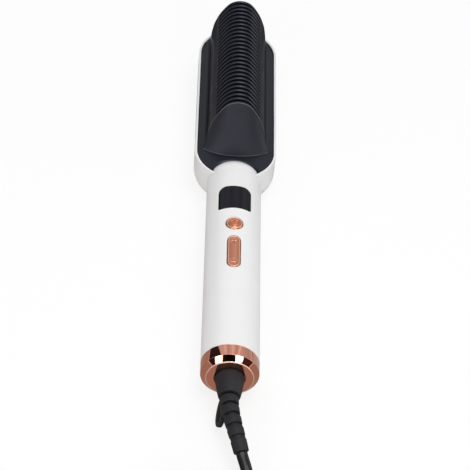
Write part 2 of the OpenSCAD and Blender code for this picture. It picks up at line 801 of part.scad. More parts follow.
// Solid whose top follows the handle's round surface, standing out by button_proud
module button_top(z0) intersection() {
    children();
    turned() square([handle_r + button_proud, total_l]);
    box(-handle_r, handle_r, 0, total_l, z0, handle_r + button_proud + 1);
}

// Power button: its flange stays under the cover, its stem stands over the switch
module power_button() color(rose) at_axis() {
    flange = power_d / 2 + 1.2;
    flange_z = sqrt(pow(bore_r, 2) - pow(flange, 2)) - 0.25;
    button_top(flange_z - eps) linear_extrude(handle_r + 2)
        translate([0, power_at]) circle(power_d / 2, $fn = 64);
    tube_z(flange, 0, power_at, flange_z - 1, flange_z);
    tube_z(1.5, 0, power_at, plunger_z + power_travel + 0.05, flange_z - 1 + eps);
}

// Temperature rocker: pivots on its pin and presses a switch with either foot
module temperature_rocker() color(rose) at_axis() difference() {
    union() {
        button_top(pin_z + 0.8) linear_extrude(handle_r + 2) capsule();
        box(-rocker_w / 2, rocker_w / 2, rocker_at - 2.2, rocker_at + 2.2, pin_z - pin_d, pin_z + 1);
        for (s = [-1, 1]) tube_z(1.5, 0, rocker_at + s * rocker_arm, plunger_z + 0.4, pin_z + 1);
    }
    tube_x(pin_d / 2 + 0.05, -rocker_w, rocker_w, rocker_at, pin_z);
}

// ---- Cord ----

// Turns what is drawn up +Z into rib k's direction
module at_rib(k) {
    d = rib_dir(k);
    translate(rib_at(k)) rotate([0, acos(d.z), atan2(d.y, d.x)]) children();
}

// Spindle, bell and ribs in one moulding
module strain_relief() color(black) at_axis() {
    turned() polygon([[0, drum_y1], [drum_r, drum_y1], [drum_r, bush_y1 + 0.1 + flange_t],
        [flange_r, bush_y1 + 0.1 + flange_t], [flange_r, bush_y1 + 0.1], [spindle_r, bush_y1 + 0.1],
        [spindle_r, mouth_in], [bell_d / 2, mouth_in], [bell_d / 2, -1],
        [bell_end_d / 2, -bell_l + groove_w], [0, -bell_l + groove_w]]);
    for (k = [0 : rib_n - 1]) at_rib(k) {
        translate([0, 0, -groove_w - 1.2]) cylinder(r = core_r, h = rib_l + groove_w + 0.6, $fn = 32);
        cylinder(r1 = rib_r(k), r2 = rib_r(k + 1), h = rib_l - (k == rib_n - 1 ? 0 : groove_w), $fn = 48);
    }
}

// Hanging eye on the side of the strain relief, standing nearly on edge
module hang_loop() color(black) at_axis()
    translate([2.8 - rib_d / 2, 1.5 - bell_l, -3]) rotate([0, 0, -3]) rotate([30, 0, 0]) rotate([0, 16, 0])
        rotate([0, -90, 0]) difference() {
            eye_y = eye_w / 2 - eye_l;
            union() {
                translate([0, eye_y, 0]) cylinder(r = eye_w / 2, h = eye_t, $fn = 48);
                translate([0, 0, 0.2]) linear_extrude(eye_t - 0.4)
                    polygon([[-2.4, 0], [2.4, 0], [eye_w / 2 - 1.8, eye_y + 2.6],
                        [1.8 - eye_w / 2, eye_y + 2.6]]);
            }
            translate([0, eye_y, -1]) cylinder(r = eye_hole / 2, h = eye_t + 2, $fn = 48);
        }

// Cord from the strain relief to the hank, and from the hank to the plug
module power_cord() color(black) translate([0, face_y, 0]) {
    end = rib_at(rib_n) + [0, 0, axis_z];
    way = rib_dir(rib_n - 1);
    sweep(concat([end + 2 * fit_gap * way, end + 3 * way], lead_in), cord_r);
    sweep(lead_out, cord_r);
}

module cord_hank() color(black) translate([hank_x, face_y, tie_t]) linear_extrude(hank_h)
    difference() {
        oval(hank_out, hank_y1 - hank_out, hank_y0 + hank_out);
        oval(hank_in, hank_y1 - hank_in, hank_y0 + hank_in);
    }

// Band around the middle of the hank
module cord_tie() color("dimgray")
    translate([hank_x, face_y + (hank_y0 + hank_y1) / 2, 0]) difference() {
        box(-hank_out - tie_t, hank_out + tie_t, -tie_w / 2, tie_w / 2, 0, hank_h + 2 * tie_t);
        box(-hank_out, hank_out, -tie_w, tie_w, tie_t, hank_h + tie_t);
    }

// Flat plug: wide at its face, narrow at the cord
module plug_body() color(black) translate([plug_x, face_y + plug_y, plug_z]) {
    w = plug_w / 2;
    y1 = -plug_neck_l - plug_l;
    difference() {
        translate([0, 0, -plug_h / 2]) linear_extrude(plug_h)
            polygon([[-8, -plug_neck_l], [8, -plug_neck_l], [w - 5, -plug_neck_l - 9],
                [w - 1.5, y1 + 7], [w, y1 + 6], [w, y1], [-w, y1], [-w, y1 + 6],
                [1.5 - w, y1 + 7], [5 - w, -plug_neck_l - 9]]);
        for (s = [-1, 1]) translate([s * plug_pin_gap / 2, y1 - eps, 0]) rotate([-90, 0, 0])
            cylinder(r = plug_root_r + 0.02, h = plug_root_l, $fn = 48);
    }
    rotate([90, 0, 0])
        cylinder(r1 = plug_neck_r - 0.4, r2 = plug_neck_r + 1.2, h = plug_neck_l + eps, $fn = 48);
}

// Pins, each on a thinner root inside the plug
module plug_pins() color("silver") translate([plug_x, face_y + plug_y - plug_neck_l - plug_l, plug_z])
    for (s = [-1, 1]) translate([s * plug_pin_gap / 2, 0, 0]) rotate([90, 0, 0]) {
        translate([0, 0, eps - plug_root_l]) cylinder(r = plug_root_r, h = plug_root_l + 1, $fn = 48);
        translate([0, 0, fit_gap]) cylinder(r = plug_pin_d / 2, h = plug_pin_l - fit_gap, $fn = 48);
    }

lower_shell();
front_cover();
comb_guard();
heated_comb();
ceramic_heater();
mica_sheet();
heater_clamp();
clamp_screws();
thermistor();
thermal_fuse();
head_screws();
handle_screws();
control_board();
board_screws();
display_module();
display_lens();
power_switch();
temperature_switches();
rocker_pin();
controller_chip();
power_triac();
film_capacitor();
lead_connector();
heater_leads();
sensor_leads();
supply_leads();
end_cap();
swivel_bush();
brush_holder();
contact_brushes();
power_button();
temperature_rocker();
strain_relief();
contact_rings();
hang_loop();
power_cord();
cord_hank();
cord_tie();
plug_body();
plug_pins();
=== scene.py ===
"""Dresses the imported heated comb: camera, cord, shells, guard, cap, buttons, finishes and studio.

Shapes are worked out in the comb's own millimetres: x across, s along the handle's axis from the
cap's face to the tip, z above the handle's axis. place() turns them into metres of the row frame.
"""

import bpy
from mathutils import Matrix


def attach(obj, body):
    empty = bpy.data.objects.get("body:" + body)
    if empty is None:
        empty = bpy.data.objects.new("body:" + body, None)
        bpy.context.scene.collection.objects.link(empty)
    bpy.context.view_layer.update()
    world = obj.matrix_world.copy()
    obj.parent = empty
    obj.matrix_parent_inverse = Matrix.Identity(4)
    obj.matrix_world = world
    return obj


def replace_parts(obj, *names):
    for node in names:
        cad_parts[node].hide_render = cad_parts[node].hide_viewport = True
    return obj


bl_info = {
    "name": "Heated comb",
    "version": (1, 0, 0),
    "blender": (4, 5, 0),
    "location": "View3D > Sidebar > Heated comb",
    "description": "Dresses the packed heated comb with detailed surfaces and finishes",
    "category": "Object",
}

import math

import bmesh
import bpy
import numpy as np
from bpy.props import FloatProperty, FloatVectorProperty, PointerProperty
from mathutils import Matrix, Vector

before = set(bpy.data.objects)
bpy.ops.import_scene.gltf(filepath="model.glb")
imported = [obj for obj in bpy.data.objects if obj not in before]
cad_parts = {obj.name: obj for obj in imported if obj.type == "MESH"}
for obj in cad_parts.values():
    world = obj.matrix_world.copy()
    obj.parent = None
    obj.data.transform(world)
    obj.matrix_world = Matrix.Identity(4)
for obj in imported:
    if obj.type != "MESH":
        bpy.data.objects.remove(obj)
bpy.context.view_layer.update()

# ---- Sizes in millimetres, as in the part's drawing ----

# Handle and head: radii about the handle's axis, places from the cap's face
TOTAL_L = 316.0
AXIS_Z = 18.0
HANDLE_R = 17.5
HEAD_Y = 162.0
HEAD_R = 26.5
NEAR_Y = HEAD_Y + HEAD_R
FAR_Y = TOTAL_L - HEAD_R
DOME_Y, DOME_L = 168.0, 12.0
# Cap: opening, flat face, slope from the face to the side, spigot inside the handle, wall
CAP_L = 11.4
CAP_HOLE_R, CAP_FACE_R, CAP_SLOPE_L = 9.4, 14.0, 3.0
SPIGOT_R, SPIGOT_IN_R, SPIGOT_END = 15.65, 13.55, 18.0
CAP_WALL = 2.2
# Beads on the cap's edges, in a paler rose that paints their highlight: radius, place, radius of the
# bead, points round it
CAP_BEADS = [(CAP_FACE_R, 0.15, 0.45, 16), (HANDLE_R - 0.18, CAP_L - 0.25, 0.25, 12)]
# Strain relief: bell, ribs that lean and droop, their core and grooves, the webs left beside each
# groove, and the width and thickness of the hanging eye's bar
BELL_L = 16.0
RIB_L = 7.4
RIB_N = 5
RIB_D, TAIL_D = 11.3, 9.0
RIB_EDGE = 0.6
GROOVE_L = 2.2
CORE_R = 3.5
WEB_X = 0.9
RELIEF_LEAN = 17.5
RELIEF_DROOP = 22.0
EYE_BAR, EYE_T = 2.9, 2.6
# Guard: tray, cross-section of the hump, fins, ledges beside the middle that is open to the comb, far
# end and the lip's distance from the handle
TRAY_Z = 10.2
TRAY_T = 2.0
TRAY_R = 25.1
TRAY_GAP = 1.4
HUMP_R = 19.0
CREST_R = 11.3
CREST_C = 32.2
FLANK_R = 46.58
FILLET = 3.5
GUARD_T = 1.8
RIDGE_Y = 200.6
FIN_Y = 204.0
FIN_PITCH = 4.1
FIN_T = 1.4
FIN_N = 26
FIN_END = 307.2
WINDOW_IN = 11.0
CEILING_Z = 24.0
LEDGE_IN, LEDGE_OUT = 28.0, 30.4
TIP_R = 24.5
LIP_GAP = 1.1
# Opening in the tray under the hump: radius of its ends and where it starts and stops
TRAY_HOLE = (17.2, 191.5, 306.5)
# Hollow posts and screws of the head
POST_R, POST_HOLE_R, POST_Z = 3.46, 1.46, -8.9
SCREW_X = 19.84
HEAD_SCREWS = [(x, y) for x in (-SCREW_X, SCREW_X) for y in (NEAR_Y + 8, FAR_Y - 2)]
HANDLE_SCREWS = [(0, 32.0), (0, 157.0)]
# Crest of a fin from its near to its far side: place along the handle, depth under the hump's line
FIN_CREST = [(-0.7, 0.6), (-0.67, 0.46), (-0.6, 0.38), (-0.55, 0.35), (-0.12, 0.13), (-0.04, 0.09),
             (0.06, 0.04), (0.2, 0), (0.42, 0), (0.56, 0.04), (0.65, 0.13), (0.7, 0.28)]
# Ramp: half width and place of its foot, how far the foot's ends lie back and how sharply it bows
RAMP_X, RAMP_Y, RAMP_BACK, RAMP_BOW = 22.3, 183.9, 5.6, 2.4
# Arch over the ramp: how far before the ridge, how far it leans forward at its feet and how suddenly
ARCH_BEFORE, ARCH_LEAN, ARCH_FLARE = 1.5, 9.6, 1.6
# Bead along the arch, and the lines along the arch and the foot that carry a painted highlight: radii
ARCH_BEAD_R, ARCH_LINE_R, FOOT_LINE_R = 0.42, 0.33, 0.2
# Keys: lift over the handle; place, half width, length and rounding of each
KEY_LIFT = 0.4
POWER_Y, POWER_R, POWER_EDGE = 113.7, 5.45, 0.6
ROCKER_Y, ROCKER_HALF, ROCKER_L, ROCKER_EDGE = 88.8, 4.15, 27.4, 0.55
# Under the keys: the power button's flange inside the handle's wall, stems for the switches, the
# rocker's underside, pin and bore
FLANGE_R, WALL_IN_R = 6.65, 15.7
STEM_R, POWER_STEM_Z, ROCKER_STEM_Z = 1.5, 10.55, 10.5
KEY_UNDER_Z = 13.3
PIN_Z, HUB_HOLE_R = 12.5, 1.05
# Marks on the keys: radius of the power ring and half its opening in radians, place and half length of
# the plus and the minus
SYMBOL_R, SYMBOL_GAP = 2.3, 0.663
MARK_Y, MARK_HALF = 9.2, 1.3
# Bead on a key in a paler rose, which paints a highlight line: how far inside the outline, and its
# radius
RIM_IN, RIM_R = 0.85, 0.17
# Display lens: half width, ends and rounding
LENS_HALF, LENS_Y0, LENS_Y1, LENS_EDGE = 10.3, 127.6, 148.1, 0.35
# Screws: radius of the head, of its flat middle and of the shank; height and pitch of the thread
SCREW_HEAD_R, SCREW_FLAT_R, SCREW_R, THREAD_H, THREAD_PITCH = 2.6, 2.1, 1.3, 0.1, 0.7
# Cord: width, first layer's height, the hank's inner fold, straight run and place, the leads in and out
CORD_D = 6.8
CORD_LAYER_Z = 1.0 + CORD_D / 2
FOLD_R = 21.0
RUN_L = 79.0
HANK_X = -7.0
HANK_Y0 = -107.0
LEAD_IN = [(10.6, -58, 9.2), (12.8, -65, 6.2), (15, -72, 4.4), (17, -79, 3.5), (18.6, -86, 3.4),
           (19.6, -90, 3.6)]
LEAD_JOIN = (20.3, -97, 4.0)
LEAD_OUT = [(20.7, -198, 17.9), (19.2, -205, 17.9), (16.8, -212, 17.4), (13.8, -220, 15.6),
            (10.8, -229, 12.4), (8.4, -238, 9.4), (6.8, -247, 7.5), (6, -254, 6.9), (6, -258.9, 6.9)]
# Plug: place and height; then sections from its neck to its face as distance, half width, half height
# and squareness
PLUG_X, PLUG_Y, PLUG_H = 6.0, -259.0, 13.7
PLUG = [(0, 3.6, 3.6, 2), (0.6, 4.2, 4.2, 2), (6, 4.7, 4.7, 2), (12, 5.4, 5.2, 2.1),
        (14, 7.0, 5.9, 2.6), (16, 8.7, 6.3, 3.2), (19, 10.6, 6.6, 3.8), (23, 12.65, 6.8, 4.4),
        (29, 14.2, 6.85, 4.8), (35, 15.7, 6.85, 5), (37, 16.2, 6.85, 5), (38, 17.2, 6.85, 5),
        (41, 17.6, 6.85, 5), (43, 17.6, 6.85, 5), (43.7, 17.3, 6.6, 5), (44, 16.7, 6.1, 5)]
# Pins of the plug: how far they stand from its middle, then radius and distance past its face
PIN_APART = 9.3
PIN = [(1.5, -7.9), (1.5, -0.5), (1.5, 0.1), (1.9, 0.1), (2.0, 0.25), (2.0, 9), (2.0, 17.2),
       (1.9, 18.0), (1.55, 18.7), (0.9, 19.0)]


def place(points):
    """Millimetres about the handle's axis to metres in the row frame; the axis is AXIS_Z up."""
    return (np.asarray(points, float) + [0, -TOTAL_L / 2, AXIS_Z]) / 1000


def on_floor(points):
    """As place(), for points whose height is already measured from the floor."""
    return (np.asarray(points, float) + [0, -TOTAL_L / 2, 0]) / 1000


# ---- Camera and studio ----

# Camera: azimuth from -Y towards +X, elevation and roll in degrees; the point it looks at in metres
VIEW_AZIMUTH, VIEW_ELEVATION, VIEW_ROLL = -2.71, 42.2, 5.29
VIEW_TARGET = (0, 0.022, 0.018)
SENSOR_MM, LENS_MM = 36, 152.23
SHIFT_X, SHIFT_Y = 0.00166, -0.1336
# Sky's strength at the horizon and from SKY_TOP of the way up, for all but the camera
SKY_LOW, SKY_HIGH, SKY_TOP = 0.38, 0.70, 0.67
# Floor: half its width and its height in metres, and how much of it glows to the camera and in mirrors
FLOOR_HALF, FLOOR_Z, FLOOR_GLOW = 6.0, -0.0004, 0.8
# Middle of the lamps and the cards, and the cards' distance from it, in metres
CAP_AT = np.array([0, -0.158, 0.018])
CARD_DISTANCE = 2.0
# Lamps: name, azimuth from -Y towards +X, elevation, distance in metres, width and height, watts
LIGHTS = [("overhead_light", 60, 80, 1.4, (0.9, 0.8), 7.3),
          ("strip_right", 27.5, 30, 1.5, (0.50, 0.42), 3.2),
          ("strip_left", -35.5, 29, 1.5, (0.42, 0.42), 2.8)]
# Cards that only polished surfaces see, on a sphere about the cap: name, azimuths, elevations, tone
CARDS = [("card_front", (-30, 18), (22, 52), (0.004, 0.003, 0.003)),
         ("card_fill", (-20, 20), (-5, 19), (2.2, 2.2, 2.3)),
         ("card_left", (-75, -43.5), (-12, 26), (0.018, 0.012, 0.013)),
         ("card_left_white", (-43.5, -29), (2, 21.5), (4.0, 4.0, 4.0)),
         ("card_far_left", (-143, -112), (-8, 38), (0.03, 0.02, 0.023)),
         ("card_side_left", (-112, -82), (-8, 30), (0.9, 0.9, 0.95)),
         ("card_side_right", (75, 115), (-4, 30), (2.0, 2.0, 2.05)),
         ("card_right", (37, 66), (-12, 26), (0.06, 0.03, 0.03)),
         ("card_far_right", (126, 142), (-1.2, 10), (0.54, 0.59, 0.62)),
         ("card_back_1", (-160.5, -155.5), (15, 60), (0.88, 0.88, 0.88)),
         ("card_back_2", (-174, -166), (15, 60), (0.54, 0.54, 0.54)),
         ("card_back_3", (169.5, 175), (15, 60), (0.9, 0.9, 0.9)),
         ("card_back_4", (154.5, 162), (15, 60), (0.54, 0.54, 0.54)),
         ("card_back_5", (147, 152), (10, 60), (0.9, 0.9, 0.9))]
# Level cards: name, from x and y to x and y in metres, height, tone
LEVEL_CARDS = [("card_top", (-1.3, -0.4), (1.3, 0.2), 1.5, (0.9, 0.9, 0.9)),
               ("card_floor_near", (-0.6, -0.8), (0.6, 0.9), -0.0002, (0.40, 0.33, 0.30)),
               ("card_floor_far", (-0.1, 0.075), (0.1, 0.25), -0.0001, (0.06, 0.065, 0.075)),
               ("card_floor_right", (0.028, -0.135), (0.6, 0.03), -0.0001, (0.54, 0.57, 0.6))]


# ---- Settings ----

class CombSizes(bpy.types.PropertyGroup):
    """Sizes of the cord, the rounded edges and the camera's distance"""
    cord_length: FloatProperty(
        name="Cord length", description="Length of the mains cord from the strain relief to the plug",
        default=1.75, min=1.0, max=2.5, unit="LENGTH")
    cord_diameter: FloatProperty(
        name="Cord width", description="Width of the twin mains cord", default=CORD_D / 1000,
        min=0.004, max=0.01, precision=4, unit="LENGTH")
    edge_radius: FloatProperty(
        name="Edge rounding", description="Rounding of the moulded edges", default=0.0003,
        min=0.0, max=0.001, precision=5, unit="LENGTH")
    rim_radius: FloatProperty(
        name="Rim rounding", description="Rounding of the head's white rim", default=0.0004,
        min=0.0, max=0.0006, precision=5, unit="LENGTH")
    camera_distance: FloatProperty(
        name="Camera distance", description="Distance from the camera to the middle of the comb",
        default=1.3, min=0.5, max=4.0, unit="LENGTH")


class CombColours(bpy.types.PropertyGroup):
    """Colours of the main finishes"""
    white: FloatVectorProperty(
        name="White plastic", description="Colour of the shells", subtype="COLOR", size=3,
        default=(0.80, 0.80, 0.80), min=0, max=1)
    charcoal: FloatVectorProperty(
        name="Charcoal plastic", description="Colour of the guard", subtype="COLOR", size=3,
        default=(0.005, 0.0056, 0.0105), min=0, max=1)
    rose: FloatVectorProperty(
        name="Rose gold", description="Colour of the cap and the buttons", subtype="COLOR", size=3,
        default=(0.80, 0.37, 0.27), min=0, max=1)
    rubber: FloatVectorProperty(
        name="Black rubber", description="Colour of the strain relief and the hanging eye",
        subtype="COLOR", size=3, default=(0.0125, 0.0121, 0.0147), min=0, max=1)
    lens: FloatVectorProperty(
        name="Smoked lens", description="Colour of the display's lens", subtype="COLOR", size=3,
        default=(0.009, 0.009, 0.015), min=0, max=1)
    floor: FloatVectorProperty(
        name="Floor", description="Colour of the floor and the backdrop", subtype="COLOR", size=3,
        default=(0.9, 0.9, 0.9), min=0, max=1)


def sizes():
    """The scene's sizes."""
    return bpy.context.scene.comb_sizes


def colours():
    """The scene's colours."""
    return bpy.context.scene.comb_colours


# ---- Surfaces ----

def smoothstep(t):
    """0 below 0, 1 above 1, and 3t^2 - 2t^3 between."""
    t = np.clip(t, 0, 1)
    return t * t * (3 - 2 * t)


def patch(points, around=True, along=False, cap_first=False, cap_last=False):
    """Quads over a grid of points[i, j]: its vertices, quads and triangles. around joins the last j to
    the first, along the last i to the first, and each cap closes an end row onto its own middle point.
    A cap of "strip" joins each point of the row's first half to its partner in the second half, for
    thin or bent sections."""
    points = np.asarray(points, float)
    n, m = points.shape[:2]
    index = np.arange(n * m).reshape(n, m)
    if around:
        index = np.concatenate([index, index[:, :1]], axis=1)
    if along:
        index = np.concatenate([index, index[:1]], axis=0)
    quads = np.stack([index[:-1, :-1], index[:-1, 1:], index[1:, 1:], index[1:, :-1]], -1)
    quads = quads.reshape(-1, 4)
    verts = points.reshape(-1, 3)
    tris = np.zeros((0, 3), int)
    for row, cap in ((0, cap_first), (-1, cap_last)):
        if cap == "strip":
            one, two = index[row][:m // 2], index[row][:m][::-1][:m // 2]
            across = np.stack([one[:-1], two[:-1], two[1:], one[1:]], -1)
            quads = np.concatenate([quads, across if row else across[:, ::-1]])
        elif cap:
            a, b = index[row][:-1], index[row][1:]
            hub = np.full(len(a), len(verts))
            tris = np.concatenate([tris, np.stack([a, b, hub] if row else [b, a, hub], -1)])
            verts = np.concatenate([verts, points[row].mean(axis=0)[None]])
    return verts, quads, tris


def placed(part, placing=place):
    """A patch in the drawing's millimetres as one in metres."""
    return placing(part[0]), part[1], part[2]


def enclosed(part):
    """Volume inside a closed patch, negative where its faces point inwards: the sum of the signed
    tetrahedra from the middle to each triangle."""
    verts, quads, tris = part
    verts = verts - verts.mean(axis=0)
    corners = np.concatenate([quads[:, [0, 1, 2]], quads[:, [0, 2, 3]], tris])
    a, b, c = (verts[corners[:, k]] for k in range(3))
    return float(np.einsum("ij,ij->i", a, np.cross(b, c)).sum() / 6)


def outward(part):
    """The patch with its faces turned outwards."""
    verts, quads, tris = part
    return part if enclosed(part) >= 0 else (verts, quads[:, ::-1], tris[:, ::-1])


def make(name, parts, finish, slot, body, sharp=35, weld=False):
    """One object from closed patches, in metres, that rides on a body of the comb. Its faces are turned
    outwards. With weld, points that fall on each other are joined."""
    verts, faces, start = [], [], 0
    for part in map(outward, parts):
        verts.append(part[0])
        faces += (part[1] + start).tolist() + (part[2] + start).tolist()
        start += len(part[0])
    mesh = bpy.data.meshes.new(name)
    mesh.from_pydata(np.concatenate(verts).tolist(), [], faces)
    if weld:
        form = bmesh.new()
        form.from_mesh(mesh)
        bmesh.ops.remove_doubles(form, verts=form.verts, dist=1e-6)
        form.to_mesh(mesh)
        form.free()
    mesh.validate()
    mesh.shade_smooth()
    mesh.set_sharp_from_angle(angle=math.radians(sharp))
    return finished(bpy.data.objects.new(name, mesh), finish, slot, body)


def finished(piece, finish, slot, body):
    """Links a piece, gives it its finish and lets it ride on its body. The slot is not used."""
    bpy.context.scene.collection.objects.link(piece)
    piece.data.materials.clear()
    piece.data.materials.append(finish)
    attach(piece, body)
    return piece


def rounded_copy(node, name, width, segments):
    """A merged copy of a drawn shell, with its flat facets joined and its sharp edges rounded."""
    angle = math.radians(35)
    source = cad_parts[node]
    mesh = source.data
    co = np.empty(len(mesh.vertices) * 3)
    mesh.vertices.foreach_get("co", co)
    world = np.array(source.matrix_world)
    co = co.reshape(-1, 3) @ world[:3, :3].T + world[:3, 3]
    corners = np.empty(len(mesh.loops), int)
    mesh.loops.foreach_get("vertex_index", corners)
    # Points that fall on each other become one
    _, first, back = np.unique(np.round(co / 2e-6).astype(np.int64), axis=0, return_index=True,
                               return_inverse=True)
    faces = back.reshape(-1)[corners].reshape(-1, 3)
    faces = faces[(faces != np.roll(faces, 1, axis=1)).all(axis=1)]
    copy = bpy.data.meshes.new(name)
    copy.from_pydata(co[first].tolist(), [], faces.tolist())
    form = bmesh.new()
    form.from_mesh(copy)
    bmesh.ops.remove_doubles(form, verts=form.verts, dist=4e-6)
    bmesh.ops.dissolve_limit(form, angle_limit=math.radians(0.5), verts=form.verts, edges=form.edges)
    form.to_mesh(copy)
    form.free()
    copy.shade_smooth()
    copy.set_sharp_from_angle(angle=angle)
    piece = finished(bpy.data.objects.new(name, copy), finishes()["white"], "white_plastic", "comb")
    if width > 0:
        bevel = piece.modifiers.new("rounded edges", "BEVEL")
        bevel.width = width
        bevel.segments = segments
        bevel.limit_method = "ANGLE"
        bevel.angle_limit = angle
        bevel.harden_normals = True
    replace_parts(piece, node)
    return piece


def unit(vectors):
    """The vectors made one long."""
    return vectors / np.linalg.norm(vectors, axis=-1, keepdims=True)


def swept(path, section, up=(0, 0, 1)):
    """A closed section of [across, above] points carried along a path: across lies square to the path
    and to up."""
    ahead = unit(np.gradient(path, axis=0))
    side = unit(np.cross(ahead, up))
    above = np.cross(side, ahead)
    return path[:, None] + section[None, :, :1] * side[:, None] + section[None, :, 1:] * above[:, None]


def looped(path, section, up=(0, 0, 1)):
    """As swept(), once round a closed path and joined to itself."""
    ahead = np.roll(path, -1, 0) - np.roll(path, 1, 0)
    side = unit(np.cross(ahead, up))
    above = unit(np.cross(side, ahead))
    return patch(path[:, None] + section[None, :, :1] * side[:, None]
                 + section[None, :, 1:] * above[:, None], along=True)


def circle(n):
    """Unit circle of n points."""
    a = np.linspace(0, 2 * np.pi, n, endpoint=False)
    return np.stack([np.cos(a), np.sin(a)], -1)


def level_rings(rows, n, x=0.0, y=0.0):
    """Level circles of n points about (x, y), one for each [radius, z]."""
    turn = circle(n)
    return np.stack([np.stack([x + r * turn[:, 0], y + r * turn[:, 1], np.full(n, z)], -1)
                     for r, z in rows])


def catmull(points, steps):
    """A smooth curve through the points, with steps to a span: uniform Catmull-Rom."""
    p = np.asarray(points, float)
    before = np.concatenate([p[:1], p[:-2]])
    after = np.concatenate([p[2:], p[-1:]])
    a, b, c, d = before[:, None], p[:-1, None], p[1:, None], after[:, None]
    t = np.linspace(0, 1, steps, endpoint=False)[None, :, None]
    line = 0.5 * (2 * b + (c - a) * t + (2 * a - 5 * b + 4 * c - d) * t ** 2
                  + (3 * b - a - 3 * c + d) * t ** 3)
    return np.concatenate([line.reshape(-1, 3), p[-1:]])


def lengths(line):
    """Length run along a line up to each of its points."""
    return np.concatenate([[0], np.cumsum(np.linalg.norm(np.diff(line, axis=0), axis=1))])


def spaced(line, n):
    """n points along an open line, evenly by its length."""
    run = lengths(line)
    places = np.linspace(0, run[-1], n)
    return np.stack([np.interp(places, run, line[:, k]) for k in range(line.shape[1])], -1)


def evenly(line, step):
    """The same line with its points about a step apart, by its own length."""
    return spaced(line, int(round(lengths(line)[-1] / step)) + 1)


def revolved(profile, n):
    """A profile of [radius, s] points turned about the handle's axis."""
    profile = np.asarray(profile, float)
    c = circle(n)
    r, s = profile[:, 0], profile[:, 1]
    return place(np.stack([r[:, None] * c[:, 0], np.broadcast_to(s[:, None], (len(r), n)),
                           r[:, None] * c[:, 1]], -1))


def softened(profile, radii, steps=5):
    """An open outline whose corners are rounded: each corner with a radius over 0 is replaced by a
    parabola that touches both of its sides."""
    profile = np.asarray(profile, float)
    out = [profile[0][None]]
    for k in range(1, len(profile) - 1):
        a, b, c = profile[k - 1], profile[k], profile[k + 1]
        if radii[k] <= 0:
            out.append(b[None])
            continue
        u, v = unit(a - b), unit(c - b)
        half = math.acos(np.clip(u @ v, -1, 1)) / 2
        shorter = min(np.linalg.norm(a - b), np.linalg.norm(c - b))
        reach = min(radii[k] / math.tan(half), 0.49 * shorter)
        t = np.linspace(0, 1, steps + 1)[:, None]
        p, q = b + u * reach, b + v * reach
        out.append((1 - t) ** 2 * p + 2 * t * (1 - t) * b + t ** 2 * q)
    out.append(profile[-1][None])
    return np.concatenate(out)


def oblong(x, y):
    """Corners of an oblong about the middle, from its half width and half height."""
    return [[-x, -y], [x, -y], [x, y], [-x, y]]


def ring(outline, radii, steps=5):
    """softened() for a closed outline: it starts and ends half way along the outline's last side."""
    outline = np.asarray(outline, float)
    start = (outline[0] + outline[-1]) / 2
    radii = np.concatenate([[0], np.broadcast_to(radii, len(outline)), [0]])
    return softened(np.concatenate([[start], outline, [start]]), radii, steps)[:-1]


def evenly_round(corners, radii, n):
    """A closed outline with circular corners, as n points spaced evenly by length."""
    corners = np.asarray(corners, float)
    points = []
    for b, before, after, r in zip(corners, np.roll(corners, 1, 0), np.roll(corners, -1, 0), radii):
        u, v = unit(before - b), unit(after - b)
        half = math.acos(u @ v) / 2
        hub = b + unit(u + v) * r / math.sin(half)
        start, end = b + u * r / math.tan(half) - hub, b + v * r / math.tan(half) - hub
        t = np.linspace(0, 1, 16)[:, None]
        points.append(hub + unit(start * (1 - t) + end * t) * r)
    return spaced(np.concatenate(points + [points[0][:1]]), n + 1)[:-1]


def oval(r, y0, y1, arc=40, line=30):
    """Outline of [x, s]: two half circles of radius r joined by straight sides, from y0 to y1. Ovals
    with the same counts have matching points."""
    a = np.linspace(0, np.pi, arc)
    s = np.linspace(0, 1, line + 2)[1:-1]
    far = np.stack([r * np.cos(a), y1 - r + r * np.sin(a)], -1)
    near = np.stack([-r * np.cos(a), y0 + r - r * np.sin(a)], -1)
    down = np.stack([0 * s - r, y1 - r + (y0 - y1 + 2 * r) * s], -1)
    return np.concatenate([far, down, near, down[::-1] * [-1, 1]])


# ---- Effects that several finishes share ----

def group(name, inputs, outputs, wire):
    """A shader node group with named sockets, made once."""
    if name in bpy.data.node_groups:
        return bpy.data.node_groups[name]
    tree = bpy.data.node_groups.new(name, "ShaderNodeTree")
    for title, kind, value in inputs:
        socket = tree.interface.new_socket(name=title, in_out="INPUT", socket_type=kind)
        if value is not None:
            socket.default_value = value
    for title, kind in outputs:
        tree.interface.new_socket(name=title, in_out="OUTPUT", socket_type=kind)
    wire(tree, tree.nodes.new("NodeGroupInput"), tree.nodes.new("NodeGroupOutput"))
    return tree


def noise(tree, vector, scale, detail=2.0, roughness=0.5):
    """A noise texture on the given coordinates."""
    node = tree.nodes.new("ShaderNodeTexNoise")
    node.inputs["Detail"].default_value = detail
    node.inputs["Roughness"].default_value = roughness
    tree.links.new(vector, node.inputs["Vector"])
    if isinstance(scale, (int, float)):
        node.inputs["Scale"].default_value = scale
    else:
        tree.links.new(scale, node.inputs["Scale"])
    return node.outputs["Fac"]


def maths(tree, operation, a, b=None, clamp=False):
    """One Math node, with numbers or sockets as its inputs."""
    node = tree.nodes.new("ShaderNodeMath")
    node.operation = operation
    node.use_clamp = clamp
    for k, value in enumerate((a, b)):
        if value is None:
            continue
        if isinstance(value, (int, float)):
            node.inputs[k].default_value = value
        else:
            tree.links.new(value, node.inputs[k])
    return node.outputs[0]


def mixed(tree, a, share_a, b, share_b):
    """Sum of two values, each times its share."""
    return maths(tree, "ADD", maths(tree, "MULTIPLY", a, share_a), maths(tree, "MULTIPLY", b, share_b))


